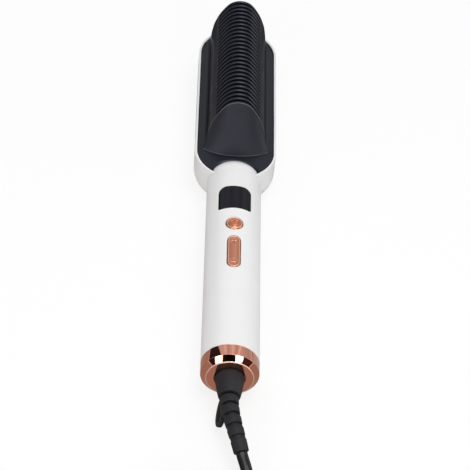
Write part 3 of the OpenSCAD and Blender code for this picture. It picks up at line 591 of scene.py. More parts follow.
def moulded_skin():
    """Fine spark-eroded texture of a mould: two sizes of grain, put out as a height."""
    def wire(tree, into, out):
        fine = noise(tree, into.outputs["Vector"], into.outputs["Scale"], 3, 0.6)
        wider = maths(tree, "MULTIPLY", into.outputs["Scale"], 0.3)
        coarse = noise(tree, into.outputs["Vector"], wider, 2)
        tree.links.new(mixed(tree, fine, 0.6, coarse, 0.4), out.inputs["Height"])
    return group("moulded_skin", [("Vector", "NodeSocketVector", None),
                                  ("Scale", "NodeSocketFloat", 2500.0)],
                 [("Height", "NodeSocketFloat")], wire)


def tone_drift():
    """Slow change of a colour over a piece, from dark to light about the given one."""
    def wire(tree, into, out):
        slow = noise(tree, into.outputs["Vector"], into.outputs["Scale"], 3, 0.55)
        amount = maths(tree, "MULTIPLY", maths(tree, "SUBTRACT", slow, 0.5), into.outputs["Amount"])
        factor = maths(tree, "ADD", amount, 1.0)
        scaled = tree.nodes.new("ShaderNodeVectorMath")
        scaled.operation = "SCALE"
        tree.links.new(into.outputs["Color"], scaled.inputs[0])
        tree.links.new(factor, scaled.inputs["Scale"])
        tree.links.new(scaled.outputs[0], out.inputs["Color"])
    return group("tone_drift", [("Vector", "NodeSocketVector", None),
                                ("Color", "NodeSocketColor", None),
                                ("Scale", "NodeSocketFloat", 40.0),
                                ("Amount", "NodeSocketFloat", 0.1)],
                 [("Color", "NodeSocketColor")], wire)


def handled_gloss():
    """Roughness that wanders as a handled surface's does: a base value, slow smears and fine scuffs."""
    def wire(tree, into, out):
        smear = noise(tree, into.outputs["Vector"], into.outputs["Scale"], 2, 0.5)
        finer = maths(tree, "MULTIPLY", into.outputs["Scale"], 14.0)
        scuff = noise(tree, into.outputs["Vector"], finer, 4, 0.7)
        worn = maths(tree, "SUBTRACT", mixed(tree, smear, 0.7, scuff, 0.3), 0.5)
        swing = maths(tree, "MULTIPLY", worn, into.outputs["Amount"])
        total = maths(tree, "ADD", swing, into.outputs["Roughness"], clamp=True)
        tree.links.new(total, out.inputs["Roughness"])
    return group("handled_gloss", [("Vector", "NodeSocketVector", None),
                                   ("Roughness", "NodeSocketFloat", 0.4),
                                   ("Scale", "NodeSocketFloat", 60.0),
                                   ("Amount", "NodeSocketFloat", 0.15)],
                 [("Roughness", "NodeSocketFloat")], wire)


def material(name, colour, roughness, metallic=0.0, grain=(2500, 0.00002), drift=(40, 0.06),
             gloss=(60, 0.12), coat=0.0, specular=0.5, stretch=1.0, tint=(1.0, 1.0, 1.0)):
    """A finish: a Principled shader fed by tone drift, handled gloss and a mould's grain, as (scale,
    amount) each. A stretch under 1 draws the tone out into streaks along the handle."""
    if name in bpy.data.materials:
        return bpy.data.materials[name]
    finish = bpy.data.materials.new(name)
    finish.use_nodes = True
    tree = finish.node_tree
    shader = tree.nodes["Principled BSDF"]
    shader.inputs["Metallic"].default_value = metallic
    shader.inputs["Coat Weight"].default_value = coat
    shader.inputs["Coat Roughness"].default_value = 0.1
    shader.inputs["Specular IOR Level"].default_value = specular
    shader.inputs["Specular Tint"].default_value = (*tint, 1)
    where = tree.nodes.new("ShaderNodeTexCoord").outputs["Object"]

    def shared(tree_of, values, place_of=where):
        node = tree.nodes.new("ShaderNodeGroup")
        node.node_tree = tree_of
        tree.links.new(place_of, node.inputs["Vector"])
        for key, value in values.items():
            node.inputs[key].default_value = value
        return node

    drawn = tree.nodes.new("ShaderNodeVectorMath")
    drawn.operation = "MULTIPLY"
    drawn.inputs[1].default_value = (1, stretch, 1)
    tree.links.new(where, drawn.inputs[0])
    tone = shared(tone_drift(), {"Color": (*colour, 1), "Scale": drift[0], "Amount": drift[1]},
                  drawn.outputs[0])
    tree.links.new(tone.outputs["Color"], shader.inputs["Base Color"])
    sheen = shared(handled_gloss(), {"Roughness": roughness, "Scale": gloss[0], "Amount": gloss[1]})
    tree.links.new(sheen.outputs["Roughness"], shader.inputs["Roughness"])
    skin = shared(moulded_skin(), {"Scale": grain[0]})
    bump = tree.nodes.new("ShaderNodeBump")
    bump.inputs["Strength"].default_value = 1.0
    bump.inputs["Distance"].default_value = grain[1]
    tree.links.new(skin.outputs["Height"], bump.inputs["Height"])
    tree.links.new(bump.outputs["Normal"], shader.inputs["Normal"])
    return finish


def finishes():
    """Every finish of the comb, by name."""
    c = colours()
    return {
        "white": material("white_plastic_moulded", c.white, 0.32, grain=(3000, 0.000008), coat=0.15),
        "charcoal": material("charcoal_plastic", c.charcoal, 0.33, grain=(2600, 0.000015),
                             drift=(60, 0.2), specular=0.45, tint=(0.8, 0.86, 1.0)),
        "matt": material("charcoal_plastic_matt", c.charcoal, 0.52, grain=(2600, 0.000015),
                         drift=(60, 0.2), tint=(0.86, 0.87, 1.0)),
        # Lighter charcoal of the thin lines along the ramp's edges: a painted highlight
        "edge": material("charcoal_painted_highlight_line", (0.07, 0.072, 0.082), 0.4, grain=(2600, 0.00001)),
        "rose": material("rose_gold_plated", c.rose, 0.06, metallic=1.0, grain=(1200, 0.000004),
                         drift=(50, 0.05), gloss=(90, 0.08)),
        "rubber": material("black_rubber_matte", c.rubber, 0.6, grain=(3500, 0.00003), drift=(80, 0.25),
                           specular=0.3),
        "jacket": material("cord_jacket", (0.005, 0.005, 0.0068), 0.18, grain=(1500, 0.000004),
                           specular=0.28),
        "satin": material("rose_gold_satin", (0.67, 0.285, 0.18), 0.2, metallic=1.0,
                          grain=(1800, 0.000004), drift=(120, 0.06), gloss=(140, 0.1)),
        # Paler rose of the thin beads on the cap and the keys: a painted highlight
        "ring": material("rose_gold_painted_highlight", (1.0, 0.70, 0.56), 0.45, metallic=1.0,
                         grain=(1800, 0.000004)),
        "lens": material("smoked_lens", c.lens, 0.1, grain=(300, 0.000002), drift=(900, 1.2),
                         specular=0.14, stretch=0.02),
        # Heated teeth, near black and not metallic: partly their dark coating, partly painted shade in
        # the slots between the fins
        "tooth": material("coated_aluminium_painted_slot_shade", (0.004, 0.004, 0.005), 0.6, grain=(2000, 0.00002),
                          specular=0.1),
        "ceramic": material("ceramic_white", (0.75, 0.73, 0.68), 0.55, grain=(1800, 0.00003)),
        "mica": material("mica_sheet_amber", (0.55, 0.42, 0.2), 0.3, grain=(500, 0.00002),
                         drift=(150, 0.35)),
        "steel": material("zinc_steel", (0.55, 0.55, 0.54), 0.3, metallic=1.0, grain=(1500, 0.00001)),
        "board": material("board_green", (0.02, 0.1, 0.045), 0.35, grain=(900, 0.00002), coat=0.5),
        "chip": material("chip_epoxy", (0.02, 0.02, 0.02), 0.6, grain=(4000, 0.00003)),
        "film": material("film_yellow", (0.6, 0.38, 0.05), 0.35, grain=(900, 0.00002)),
        "ivory": material("nylon_ivory", (0.7, 0.66, 0.55), 0.45, grain=(1500, 0.00002)),
        "lead": material("lead_silicone", (0.3, 0.04, 0.03), 0.5, grain=(3000, 0.00002)),
        "brass": material("brass_bright", (0.72, 0.5, 0.2), 0.22, metallic=1.0, grain=(1500, 0.000008)),
        "nickel": material("nickel_pin", (0.62, 0.6, 0.56), 0.2, metallic=1.0, grain=(1200, 0.000006)),
        "tie": material("tie_grey_rubber", (0.06, 0.06, 0.065), 0.55, grain=(2500, 0.00004)),
        "plug": material("plug_black", (0.02, 0.02, 0.023), 0.38, grain=(2200, 0.00003)),
        "dark": material("switch_black", (0.025, 0.025, 0.027), 0.45),
    }


# Finish of each drawn node
NODE_FINISH = {
    "lower_shell": "white", "front_cover": "white", "comb_guard": "charcoal", "heated_comb": "tooth",
    "ceramic_heater": "ceramic", "mica_sheet": "mica", "heater_clamp": "steel", "clamp_screws": "steel",
    "thermistor": "ceramic", "thermal_fuse": "steel", "head_screws": "steel", "handle_screws": "steel",
    "control_board": "board", "board_screws": "steel", "display_module": "dark", "display_lens": "lens",
    "power_switch": "dark", "temperature_switches": "dark", "rocker_pin": "steel",
    "controller_chip": "chip", "power_triac": "chip", "film_capacitor": "film",
    "lead_connector": "ivory", "heater_leads": "lead", "sensor_leads": "lead", "supply_leads": "lead",
    "end_cap": "rose", "swivel_bush": "ivory", "brush_holder": "dark", "contact_brushes": "brass",
    "power_button": "rose", "temperature_rocker": "rose", "strain_relief": "rubber",
    "contact_rings": "brass", "hang_loop": "rubber", "power_cord": "jacket", "cord_hank": "jacket",
    "cord_tie": "tie", "plug_body": "plug", "plug_pins": "nickel",
}


# ---- Camera ----

def toward(azimuth, elevation):
    """Unit vectors at azimuths in degrees, from -Y towards +X, and at elevations in degrees."""
    a, e = np.radians(azimuth), np.radians(elevation)
    return np.stack(np.broadcast_arrays(np.sin(a) * np.cos(e), -np.cos(a) * np.cos(e), np.sin(e)), -1)


class COMB_OT_camera(bpy.types.Operator):
    """Camera that looks down on the comb from the cord's end"""
    bl_idname = "comb.camera"
    bl_label = "Camera"

    def execute(self, context):
        back = toward(VIEW_AZIMUTH, VIEW_ELEVATION)
        right = toward(VIEW_AZIMUTH + 90, 0)
        up = np.cross(back, right)
        roll = math.radians(VIEW_ROLL)
        turned = np.eye(4)
        turned[:3] = np.stack([right * math.cos(roll) + up * math.sin(roll),
                               up * math.cos(roll) - right * math.sin(roll), back,
                               np.array(VIEW_TARGET) + sizes().camera_distance * back], 1)
        data = bpy.data.cameras.new("camera")
        data.sensor_width, data.lens = SENSOR_MM, LENS_MM
        data.shift_x, data.shift_y = SHIFT_X, SHIFT_Y
        data.clip_start, data.clip_end = 0.05, 20
        camera = bpy.data.objects.new("camera", data)
        camera.matrix_world = Matrix(turned.tolist())
        context.scene.collection.objects.link(camera)
        context.scene.camera = camera
        return {"FINISHED"}


# ---- Cord ----

def rib_way(k):
    """Direction of rib k of the strain relief: each leans to the side and droops more than the last."""
    lean = RELIEF_LEAN * math.sin(math.radians(90 * (k + 1) / RIB_N))
    droop = RELIEF_DROOP * (k / (RIB_N - 1)) ** 2
    return toward(lean, -droop)


def rib_points():
    """Ends of the ribs about the handle's axis, from the bell's narrow end to the cord."""
    ways = np.array([rib_way(k) for k in range(RIB_N)])
    return np.concatenate([[[0, -BELL_L, 0]], [0, -BELL_L, 0] + np.cumsum(RIB_L * ways, axis=0)])


def hank_line(step=2.0):
    """Middle line of the folded cord, in five turns and a run. Each turn goes away on the right, folds
    back on the left and changes its place in the stack on the left: out or in by one width, up by one.
    Where the fourth turn comes up inwards, it rolls over the third, and the fifth rides over it."""
    mean = FOLD_R + CORD_D / 2
    arc = math.pi * mean
    lap = 2 * (RUN_L + arc)
    q = np.arange(0, 5 * lap + RUN_L, step)
    turn = np.minimum((q // lap).astype(int), 5)
    p = q - turn * lap
    # Way round the oval: right run, far fold, left run, near fold
    y1 = HANK_Y0 - RUN_L
    angle = np.select([p < RUN_L, p < RUN_L + arc, p < 2 * RUN_L + arc],
                      [0 * p, (p - RUN_L) / mean, np.pi + 0 * p], np.pi + (p - 2 * RUN_L - arc) / mean)
    middle = np.select([p < RUN_L, p < RUN_L + arc, p < 2 * RUN_L + arc],
                       [HANK_Y0 - p, y1 + 0 * p, y1 + (p - RUN_L - arc)], HANK_Y0 + 0 * p)
    # Moves, measured from the start of the left run
    g = p - RUN_L - arc
    out = np.array([1, 0, 0, 1, 0, 1.0])[turn]
    up = np.array([0, 0, 1, 1, 2, 2.0])[turn]
    roll = smoothstep((g + 50) / 45) * np.pi / 2
    out = np.select([turn == 0, turn == 2, turn == 3, turn == 4],
                    [1 - smoothstep((g - 16) / 40), smoothstep((g + 8) / 40), np.cos(roll),
                     smoothstep((g + 70) / 40)], out)
    up = np.select([turn == 1, turn == 3, turn == 4],
                   [smoothstep((g - 4) / 40), 1 + np.sin(roll),
                    2 + 0.66 * smoothstep((g + 62) / 34) * smoothstep((14 - g) / 40)], up)
    radius = FOLD_R + CORD_D * out
    return np.stack([HANK_X + radius * np.cos(angle), middle - radius * np.sin(angle),
                     CORD_LAYER_Z + CORD_D * up], -1)


def cord_line():
    """Whole middle line of the cord in millimetres, heights from the floor: out of the relief, down to
    the surface, round the hank, and off its top to the plug."""
    ends = rib_points()
    end, way = ends[-1] + [0, 0, AXIS_Z], rib_way(RIB_N - 1)
    lead_in = catmull([tuple(end + 0.1 * way), tuple(end + 3 * way)] + LEAD_IN, 10)
    lead_out = catmull(LEAD_OUT, 8)
    hank = hank_line()
    joined = catmull(np.concatenate([lead_in[::5], [LEAD_JOIN], hank[2:-2:4], lead_out[::4]]), 4)
    line = evenly(joined, 1.0)
    # Ease the joints: a running mean over 7 mm that leaves both ends where they are
    kernel = np.ones(7) / 7
    eased = np.stack([np.convolve(np.pad(line[:, k], 3, mode="edge"), kernel, "valid")
                      for k in range(3)], -1)
    order = np.arange(len(line))
    weight = smoothstep(np.minimum(order, order[::-1]) / 12.0)[:, None]
    return evenly(line * (1 - weight) + eased * weight, 2.4)


def twin_section(width, n=28):
    """Outline of a twin flat cord: two round cores side by side, with a shallow waist between them."""
    a = np.linspace(0, 2 * np.pi, n, endpoint=False)
    radius = (1 - 0.16 * np.abs(np.sin(a)) ** 4) * width / 2
    return np.stack([radius * np.cos(a), radius * np.sin(a) * 0.9], -1)


class COMB_OT_cord(bpy.types.Operator):
    """Mains cord: out of the strain relief, folded into a hank, and on to the plug"""
    bl_idname = "comb.cord"
    bl_label = "Cord"

    def execute(self, context):
        line = on_floor(cord_line())
        width = sizes().cord_diameter
        tube = swept(line, twin_section(width))
        cord = make("mains_cord", [patch(tube, cap_first=True, cap_last=True)], finishes()["jacket"],
                    "black_rubber", "cord", sharp=60)
        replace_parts(cord, "power_cord", "cord_hank")
        length = lengths(line)[-1]
        if abs(length - sizes().cord_length) > 0.1 * sizes().cord_length:
            raise RuntimeError(f"the cord's line is {length:.3f} m long")
        return {"FINISHED"}


class COMB_OT_finishes(bpy.types.Operator):
    """Finishes of the pieces that are shown as drawn"""
    bl_idname = "comb.finishes"
    bl_label = "Finishes"

    def execute(self, context):
        known = finishes()
        for node, finish in NODE_FINISH.items():
            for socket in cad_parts[node].material_slots:
                socket.material = known[finish]
        return {"FINISHED"}


class COMB_OT_shells(bpy.types.Operator):
    """White shells of the handle and the head, with rounded edges"""
    bl_idname = "comb.shells"
    bl_label = "Shells"

    def execute(self, context):
        rounded_copy("lower_shell", "head_and_handle_back", sizes().rim_radius, segments=3)
        rounded_copy("front_cover", "handle_front", 0.7 * sizes().edge_radius, segments=2)
        return {"FINISHED"}


# ---- Guard ----

def hump_line(v, inset=0.0, fillet=False):
    """Cross-section of the hump as [x, z]: v runs by length from the right foot over the crest to the
    left one. Two long flank arcs meet a round crest. With fillet, each foot ends in a hollow arc on the
    tray."""
    side, top = FLANK_R - inset, CREST_R - inset
    turn = math.atan2(CREST_C - TRAY_Z, FLANK_R - HUMP_R)
    low = math.asin(FILLET / FLANK_R) if fillet else -0.004
    spans = np.array([FILLET * (np.pi / 2 - low) if fillet else 0, FLANK_R * (turn - low),
                      CREST_R * (np.pi / 2 - turn)])
    v = np.asarray(v, float)
    half = np.where(v > 0.5, 1 - v, v) * 2 * spans.sum()
    hollow = np.clip(half / max(spans[0], 1e-9), 0, 1) * (np.pi / 2 - low)
    rise = low + np.clip((half - spans[0]) / spans[1], 0, 1) * (turn - low)
    crest = turn + np.clip((half - spans[0] - spans[1]) / spans[2], 0, 1) * (np.pi / 2 - turn)
    foot_x = side * math.cos(low) - FLANK_R + HUMP_R + FILLET
    x = np.where(half < spans[0], foot_x - FILLET * np.sin(hollow),
                 np.where(half < spans[0] + spans[1], side * np.cos(rise) - FLANK_R + HUMP_R,
                          top * np.cos(crest)))
    z = np.where(half < spans[0], TRAY_Z + FILLET * (1 - np.cos(hollow)),
                 np.where(half < spans[0] + spans[1], TRAY_Z + side * np.sin(rise),
                          CREST_C + top * np.sin(crest)))
    return np.stack([np.where(v > 0.5, -x, x), z], -1)


def at(section, s):
    """Points [x, s, z] from a section [x, z] and places s along the handle's axis."""
    return np.stack(np.broadcast_arrays(section[..., 0], s, section[..., 1]), -1)


def fin(y):
    """One arched plate FIN_T thick: the upper part of the hump's line, sloped off towards the handle
    and rounded behind, filled down to the ceiling over the heater."""
    v = np.linspace(0.222, 0.778, 84)
    across, inset = np.array(FIN_CREST).T
    outer = np.stack([at(hump_line(v, d), y + c) for d, c in zip(inset, across)], 1)
    low = np.stack([hump_line(v)[:, 0] * 0.8, 0 * v + CEILING_Z + 0.2], -1)
    inner = np.stack([at(low, y + FIN_T / 2), at(low, y - FIN_T / 2)], 1)
    return patch(np.concatenate([outer, inner], 1), cap_first=True, cap_last=True)


def within_tray(points):
    """Points [x, s, z] drawn in to the tray's round far end where they would pass it."""
    past = np.maximum(points[..., 1] - FAR_Y, 0)
    reach = np.sqrt(np.maximum((TRAY_R - 0.5) ** 2 - past ** 2, 0))
    points[..., 0] = np.clip(points[..., 0], -reach, reach)
    return points


def side_wall(side):
    """Wall of the hump beside the slots, drawn along the head: a hollow arc off the tray, the flank,
    and a ledge that falls inwards to the open middle. Each point of the outer line has its partner
    inside."""
    flank = hump_line(np.linspace(0, 0.345, 50), 0, True)
    flank = flank[flank[:, 1] < LEDGE_OUT]
    outer = softened(np.concatenate([flank, [[WINDOW_IN, LEDGE_IN], [WINDOW_IN, CEILING_Z]]]),
                     np.concatenate([np.zeros(len(flank) - 1), [0.4, 0.5, 0]]), 6)
    under = hump_line(np.linspace(0, 0.3, 60), GUARD_T)
    under = under[(under[:, 1] < CEILING_Z - 0.05) & (under[:, 1] > TRAY_Z)]
    inner = np.concatenate([[flank[0] - [0.3, 1.4]], [under[0] - [0, 1.4]], under,
                            [[WINDOW_IN + 0.3, CEILING_Z]]])
    n = 60
    section = np.concatenate([spaced(outer, n), spaced(inner, n)[::-1]]) * [side, 1]
    s = np.concatenate([[RIDGE_Y - 0.9, RIDGE_Y + 20, 254.0], np.linspace(FAR_Y, FIN_END - 0.6, 16)])
    return patch(within_tray(at(section[None], s[:, None])), cap_first="strip", cap_last="strip")


def arch_front(arch):
    """Place along the handle of the front of the ramp's arch, for its points [x, z]: it leans forward
    where the arch flares onto the tray."""
    low = np.clip((TRAY_Z + FILLET - arch[:, 1]) / FILLET, 0, 1)
    return RIDGE_Y - ARCH_BEFORE - ARCH_LEAN * low ** ARCH_FLARE


def ramp_foot(x, lift=0.0):
    """Foot of the ramp on the tray for points x across: its ends lie back."""
    return np.stack([x, RAMP_Y + RAMP_BACK * np.abs(x / RAMP_X) ** RAMP_BOW, 0 * x + TRAY_Z + lift], -1)


def ramp():
    """Sloping front of the hump: straight lines from its foot on the tray to the arch, which leans
    forward where it flares, then the arch's own thickness and a hollow inside."""
    v = np.linspace(0, 1, 121)
    arch = hump_line(v, 0, True)
    front = arch_front(arch)
    foot = ramp_foot(RAMP_X * np.sin((0.5 - v) * np.pi))
    # Rounded step off the tray, then a face that steepens towards the arch
    turn = np.linspace(0, np.pi / 2, 5)[:, None, None]
    step = foot + np.concatenate([0 * turn, 0.35 * (1 - np.cos(turn)), 0.15 + 0.4 * np.sin(turn)], -1)
    step = np.concatenate([[foot - [0, 0, 0.4]], step])
    start = step[-1]
    edge = at(arch, front)
    t = np.linspace(0, 1, 15)
    face = start[:, None] + (edge - start)[:, None] * t[None, :, None]
    face[..., 2] -= 0.03 * np.sin(np.pi * t)[None] * (edge[:, None, 2] - TRAY_Z)
    # Bead between the sloping face and the flank
    r = ARCH_BEAD_R
    thin = hump_line(v, 0.35 * r, True)
    out = arch - hump_line(v, 1.0, True)
    out /= np.maximum(np.linalg.norm(out, axis=1), 1e-9)[:, None]
    bead = [at(thin + r * math.cos(q) * out, front + 0.35 * r - r * math.sin(q))
            for q in np.radians([125, 100, 75, 50, 25, 0, -25, -45])]
    # Over the arch, down its back and in under it
    behind = [at(arch, front + 2.2 * r), at(arch, RIDGE_Y - r),
              at(hump_line(v, 0.3 * r, True), RIDGE_Y - 0.3 * r), at(hump_line(v, r, True), RIDGE_Y),
              at(hump_line(v, GUARD_T), RIDGE_Y), at(hump_line(v, GUARD_T + 1.2), RIDGE_Y - 3.0),
              foot * [0.88, 1, 1] + [0, 2.6, -1.0]]
    loop = np.concatenate([np.swapaxes(step[:-1], 0, 1), face[:, :-1], np.stack(bead + behind, 1)], 1)
    return patch(loop, cap_first=True, cap_last=True)


def ramp_lines():
    """Lines along the ramp's edges that carry a painted highlight, [x, s, z]: along the arch and along
    its foot on the tray.
    """
    arch = hump_line(np.linspace(0.012, 0.988, 141), 0.1, True)
    return (at(arch, arch_front(arch) - 0.12),
            ramp_foot(np.linspace(-21.4, 21.4, 121), 0.46) + [0, 0.2, 0])


def tip():
    """Rounded end behind the last fin: from the arch, over a quarter wave, to the tray's round end."""
    v = np.linspace(0, 1, 97)
    arch = within_tray(at(hump_line(v, 0.02, False), FIN_END - 0.5))
    reach = math.asin((FIN_END - FAR_Y) / TIP_R)
    turn = reach + (np.pi - 2 * reach) * v
    foot = np.stack([TIP_R * np.cos(turn), FAR_Y + TIP_R * np.sin(turn), 0 * v + TRAY_Z - 0.2], -1)
    t = np.linspace(0, 1, 16)
    out = np.sin(t * np.pi / 2)
    down = t ** 1.25
    skin = arch[:, None] + (foot - arch)[:, None] * np.stack([out, out, down], -1)[None]
    inner_arch = within_tray(at(hump_line(v, GUARD_T), FIN_END - 0.5))
    inner_foot = foot * [0.9, 1, 1] - [0, 1.8, 0.6]
    loop = np.concatenate([skin, inner_foot[:, None], inner_arch[:, None]], 1)
    return patch(loop, cap_first=True, cap_last=True)


def tray():
    """Flat oval rim of the tray with a rounded outer edge, open under the hump."""
    y0, y1, r, under = HEAD_Y + TRAY_GAP, TOTAL_L - TRAY_GAP, 0.35, TRAY_Z - TRAY_T
    rows = [(r, under), (0, under + r), (0, TRAY_Z - r), (0.3 * r, TRAY_Z - 0.3 * r), (r, TRAY_Z)]
    outer = [np.insert(oval(TRAY_R - d, y0 + d, y1 - d), 2, z, axis=1) for d, z in rows]
    inner = [np.insert(oval(*TRAY_HOLE), 2, z, axis=1) for z in (TRAY_Z, under)]
    return patch(np.stack(outer + inner), along=True)


def lip():
    """Raised lip around the handle's round end: a bar, sloped towards the end, along its outline."""
    a = np.linspace(math.radians(4), math.radians(176), 81)
    share = math.sqrt(1 - (TRAY_Z / HANDLE_R) ** 2)
    path = np.stack([(HANDLE_R * share + LIP_GAP) * np.cos(a),
                     DOME_Y + (DOME_L * share + LIP_GAP) * np.sin(a), 0 * a + TRAY_Z + 0.1], -1)
    bar = ring([[-0.95, -0.4], [0.95, -0.4], [0.95, 0.95], [0.7, 0.98], [-0.95, 0.15]],
               [0, 0, 0.1, 0.1, 0.1], 4)
    return patch(swept(path, bar), cap_first=True, cap_last=True)


def post(x, y):
    """Hollow post for a screw of the head: a ring carried down from the tray."""
    top = TRAY_Z - TRAY_T + 0.1
    rows = [(POST_R, POST_Z), (POST_R, top), (POST_HOLE_R, top), (POST_HOLE_R, POST_Z)]
    return patch(level_rings(rows, 32, x, y), along=True)


class COMB_OT_guard(bpy.types.Operator):
    """Charcoal guard: tray, ramp, side walls, fins, rounded tip, lip and screw posts"""
    bl_idname = "comb.guard"
    bl_label = "Guard"

    def execute(self, context):
        parts = [tray(), tip(), lip(), side_wall(1), side_wall(-1)]
        parts += [fin(FIN_Y + FIN_PITCH * k) for k in range(FIN_N)]
        parts += [post(*spot) for spot in HEAD_SCREWS]
        known = finishes()
        guard = make("guard", map(placed, parts), known["charcoal"], "black_plastic", "comb", sharp=32)
        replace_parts(guard, "comb_guard")
        make("guard_ramp", [placed(ramp())], known["matt"], "black_plastic", "comb", sharp=32)
        # Thin tubes along the ramp's arch and foot, in the lighter charcoal: a painted highlight
        edges = [patch(swept(line, r * circle(10), up=(0.03, 0.4, 1)), cap_first=True, cap_last=True)
                 for line, r in zip(ramp_lines(), (ARCH_LINE_R, FOOT_LINE_R))]
        make("guard_painted_highlight_lines", map(placed, edges), known["edge"], "black_plastic", "comb", sharp=60)
        return {"FINISHED"}


# ---- Cap, strain relief and hanging eye ----

class COMB_OT_cap(bpy.types.Operator):
    """Rose-gold end cap: face, sloping shoulder, side and the spigot inside the handle"""
    bl_idname = "comb.cap"
    bl_label = "End cap"

    def execute(self, context):
        outline = [(CAP_HOLE_R, 0), (CAP_FACE_R, 0), (HANDLE_R, CAP_SLOPE_L), (HANDLE_R, CAP_L),
                   (SPIGOT_R, CAP_L), (SPIGOT_R, SPIGOT_END), (SPIGOT_IN_R, SPIGOT_END),
                   (SPIGOT_IN_R, CAP_WALL), (CAP_HOLE_R, CAP_WALL)]
        profile = ring(outline, [0.3, 0.3, 0.22, 0.2, 0, 0.3, 0.3, 0, 0.2], 6)
        cap = make("end_cap_polished", [patch(revolved(profile, 192), along=True)], finishes()["rose"],
                   "rose_gold", "comb", sharp=60)
        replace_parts(cap, "end_cap")
        # Beads at the face's edge and at the side's end, in the paler rose: a painted highlight
        beads = [patch(revolved([r, y] + bead * circle(n), 192), along=True)
                 for r, y, bead, n in CAP_BEADS]
        make("end_cap_painted_highlight_beads", beads, finishes()["ring"], "rose_gold", "comb", sharp=60)
        return {"FINISHED"}


def rib_tube():
    """Ribs of the strain relief: round sections along its bent middle line. Each groove is cut down to
    the core, and a web on either side of it is left standing."""
    line = catmull(np.concatenate([[[0, -BELL_L + RIB_L, 0]], rib_points()]), 12)
    run = lengths(line)
    start = run[12]
    # Stations along the line, with the radius there and 1 where a groove is cut
    stations = [(start - 3.2, CORE_R, 0), (start - 1.4, CORE_R, 0)]
    a = np.linspace(0, np.pi / 2, 5)
    for k in range(RIB_N):
        rib = start + k * RIB_L
        r0, r1 = ((RIB_D + (TAIL_D - RIB_D) * q / RIB_N) / 2 for q in (k, k + 1))
        length = RIB_L - (0 if k == RIB_N - 1 else GROOVE_L)
        along = np.concatenate([RIB_EDGE * (1 - np.cos(a)), length - RIB_EDGE + RIB_EDGE * np.sin(a)])
        inset = RIB_EDGE * np.concatenate([1 - np.sin(a), 1 - np.cos(a)])
        stations.append((rib + 0.01, CORE_R, 1))
        stations += [(rib + 0.02 + t * 0.99, r0 + (r1 - r0) * t / length - d, 0)
                     for t, d in zip(along, inset)]
        if k < RIB_N - 1:
            stations.append((rib + length, CORE_R, 1))
    stations, radii, cut = np.array(stations).T
    stations = np.minimum(stations, run[-1] - 0.01 * np.arange(len(stations))[::-1])
    turn = circle(64)
    web = smoothstep((np.abs(turn[:, 0]) - WEB_X) / 0.08)[None]
    full = (RIB_D + (TAIL_D - RIB_D) * np.clip((stations - start) / (RIB_N * RIB_L), 0, 1)) / 2 - 0.35
    size = radii[:, None] + cut[:, None] * web * np.maximum(full - radii, 0)[:, None]
    # Sections square to the line's own direction, which is taken from evenly spaced points
    path = np.stack([np.interp(stations, run, line[:, q]) for q in range(3)], -1)
    ways = unit(np.gradient(evenly(line, 0.5), axis=0))
    places = np.linspace(0, run[-1], len(ways))
    ahead = unit(np.stack([np.interp(stations, places, ways[:, q]) for q in range(3)], -1))
    side = unit(np.cross(ahead, [0, 0, 1.0]))
    above = np.cross(side, ahead)
    return patch(path[:, None] + size[..., None] * (turn[None, :, :1] * side[:, None]
                                                    + turn[None, :, 1:] * above[:, None]),
                 cap_first=True, cap_last=True)


class COMB_OT_relief(bpy.types.Operator):
    """Strain relief: spindle, bell and grooved ribs"""
    bl_idname = "comb.relief"
    bl_label = "Strain relief"

    def execute(self, context):
        # Spindle inside the cap with its flange, then the bell outside: [radius, place]
        profile = softened([(0, 22), (5.4, 22), (5.4, 11), (8, 11), (8, 9.6), (6, 9.6), (6, 2),
                            (8.8, 2), (8.8, -1.4), (7.6, -9.5), (6.5, -14.6), (0, -14.6)],
                           [0, 0.3, 0, 0.2, 0.2, 0, 0, 0.4, 2.4, 6.0, 1.1, 0], 8)
        bell = patch(revolved(profile[1:-1], 96), cap_first=True, cap_last=True)
        relief = make("strain_relief_ribbed", [bell, placed(rib_tube())], finishes()["rubber"],
                      "black_rubber", "cord", sharp=40)
        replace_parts(relief, "strain_relief")
        return {"FINISHED"}


class COMB_OT_eye(bpy.types.Operator):
    """Hanging eye: a drop-shaped loop of rounded rubber that grows out of the strain relief"""
    bl_idname = "comb.eye"
    bl_label = "Hanging eye"

    def execute(self, context):
        a = np.linspace(0, 2 * np.pi, 72, endpoint=False)
        # Drop: an ellipse whose width grows away from the relief
        width = 4.9 * (1 - 0.42 * np.cos(a)) / 1.16
        path = np.stack([width * np.sin(a), -8.0 + 6.8 * np.cos(a), 0 * a + EYE_T / 2], -1)
        bar = ring(oblong(EYE_BAR / 2, EYE_T / 2), 0.75, 5)
        # Stood on edge, leant back against the relief and set at its side
        turns = Matrix.Identity(3)
        for angle, axis in ((-3, "Z"), (30, "X"), (16, "Y"), (-90, "Y")):
            turns = turns @ Matrix.Rotation(math.radians(angle), 3, axis)
        verts, quads, tris = looped(path, bar)
        verts = verts @ np.array(turns).T + [2.8 - RIB_D / 2, 1.5 - BELL_L, -3]
        eye = make("hanging_eye", [placed((verts, quads, tris))], finishes()["rubber"], "black_rubber",
                   "cord", sharp=50)
        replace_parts(eye, "hang_loop")
        return {"FINISHED"}


# ---- Buttons and lens ----

def stroke(x, y, x0, y0, x1, y1):
    """Distance from each point to the straight line between two points."""
    dx, dy = x1 - x0, y1 - y0
    t = np.clip(((x - x0) * dx + (y - y0) * dy) / (dx * dx + dy * dy), 0, 1)
    return np.hypot(x - x0 - t * dx, y - y0 - t * dy)


def carved(distance, half, depth):
    """Groove with round shoulders about a line: full depth on it, none beyond its half width."""
    return depth * (1 - smoothstep((distance - half * 0.45) / (half * 0.75)))


def over_handle(x, s, lift=0.0):
    """Points on the handle's round surface, lifted off it: z is the root of radius squared less x
    squared."""
    return np.stack([x, s, np.sqrt((HANDLE_R + lift) ** 2 - x ** 2)], -1)


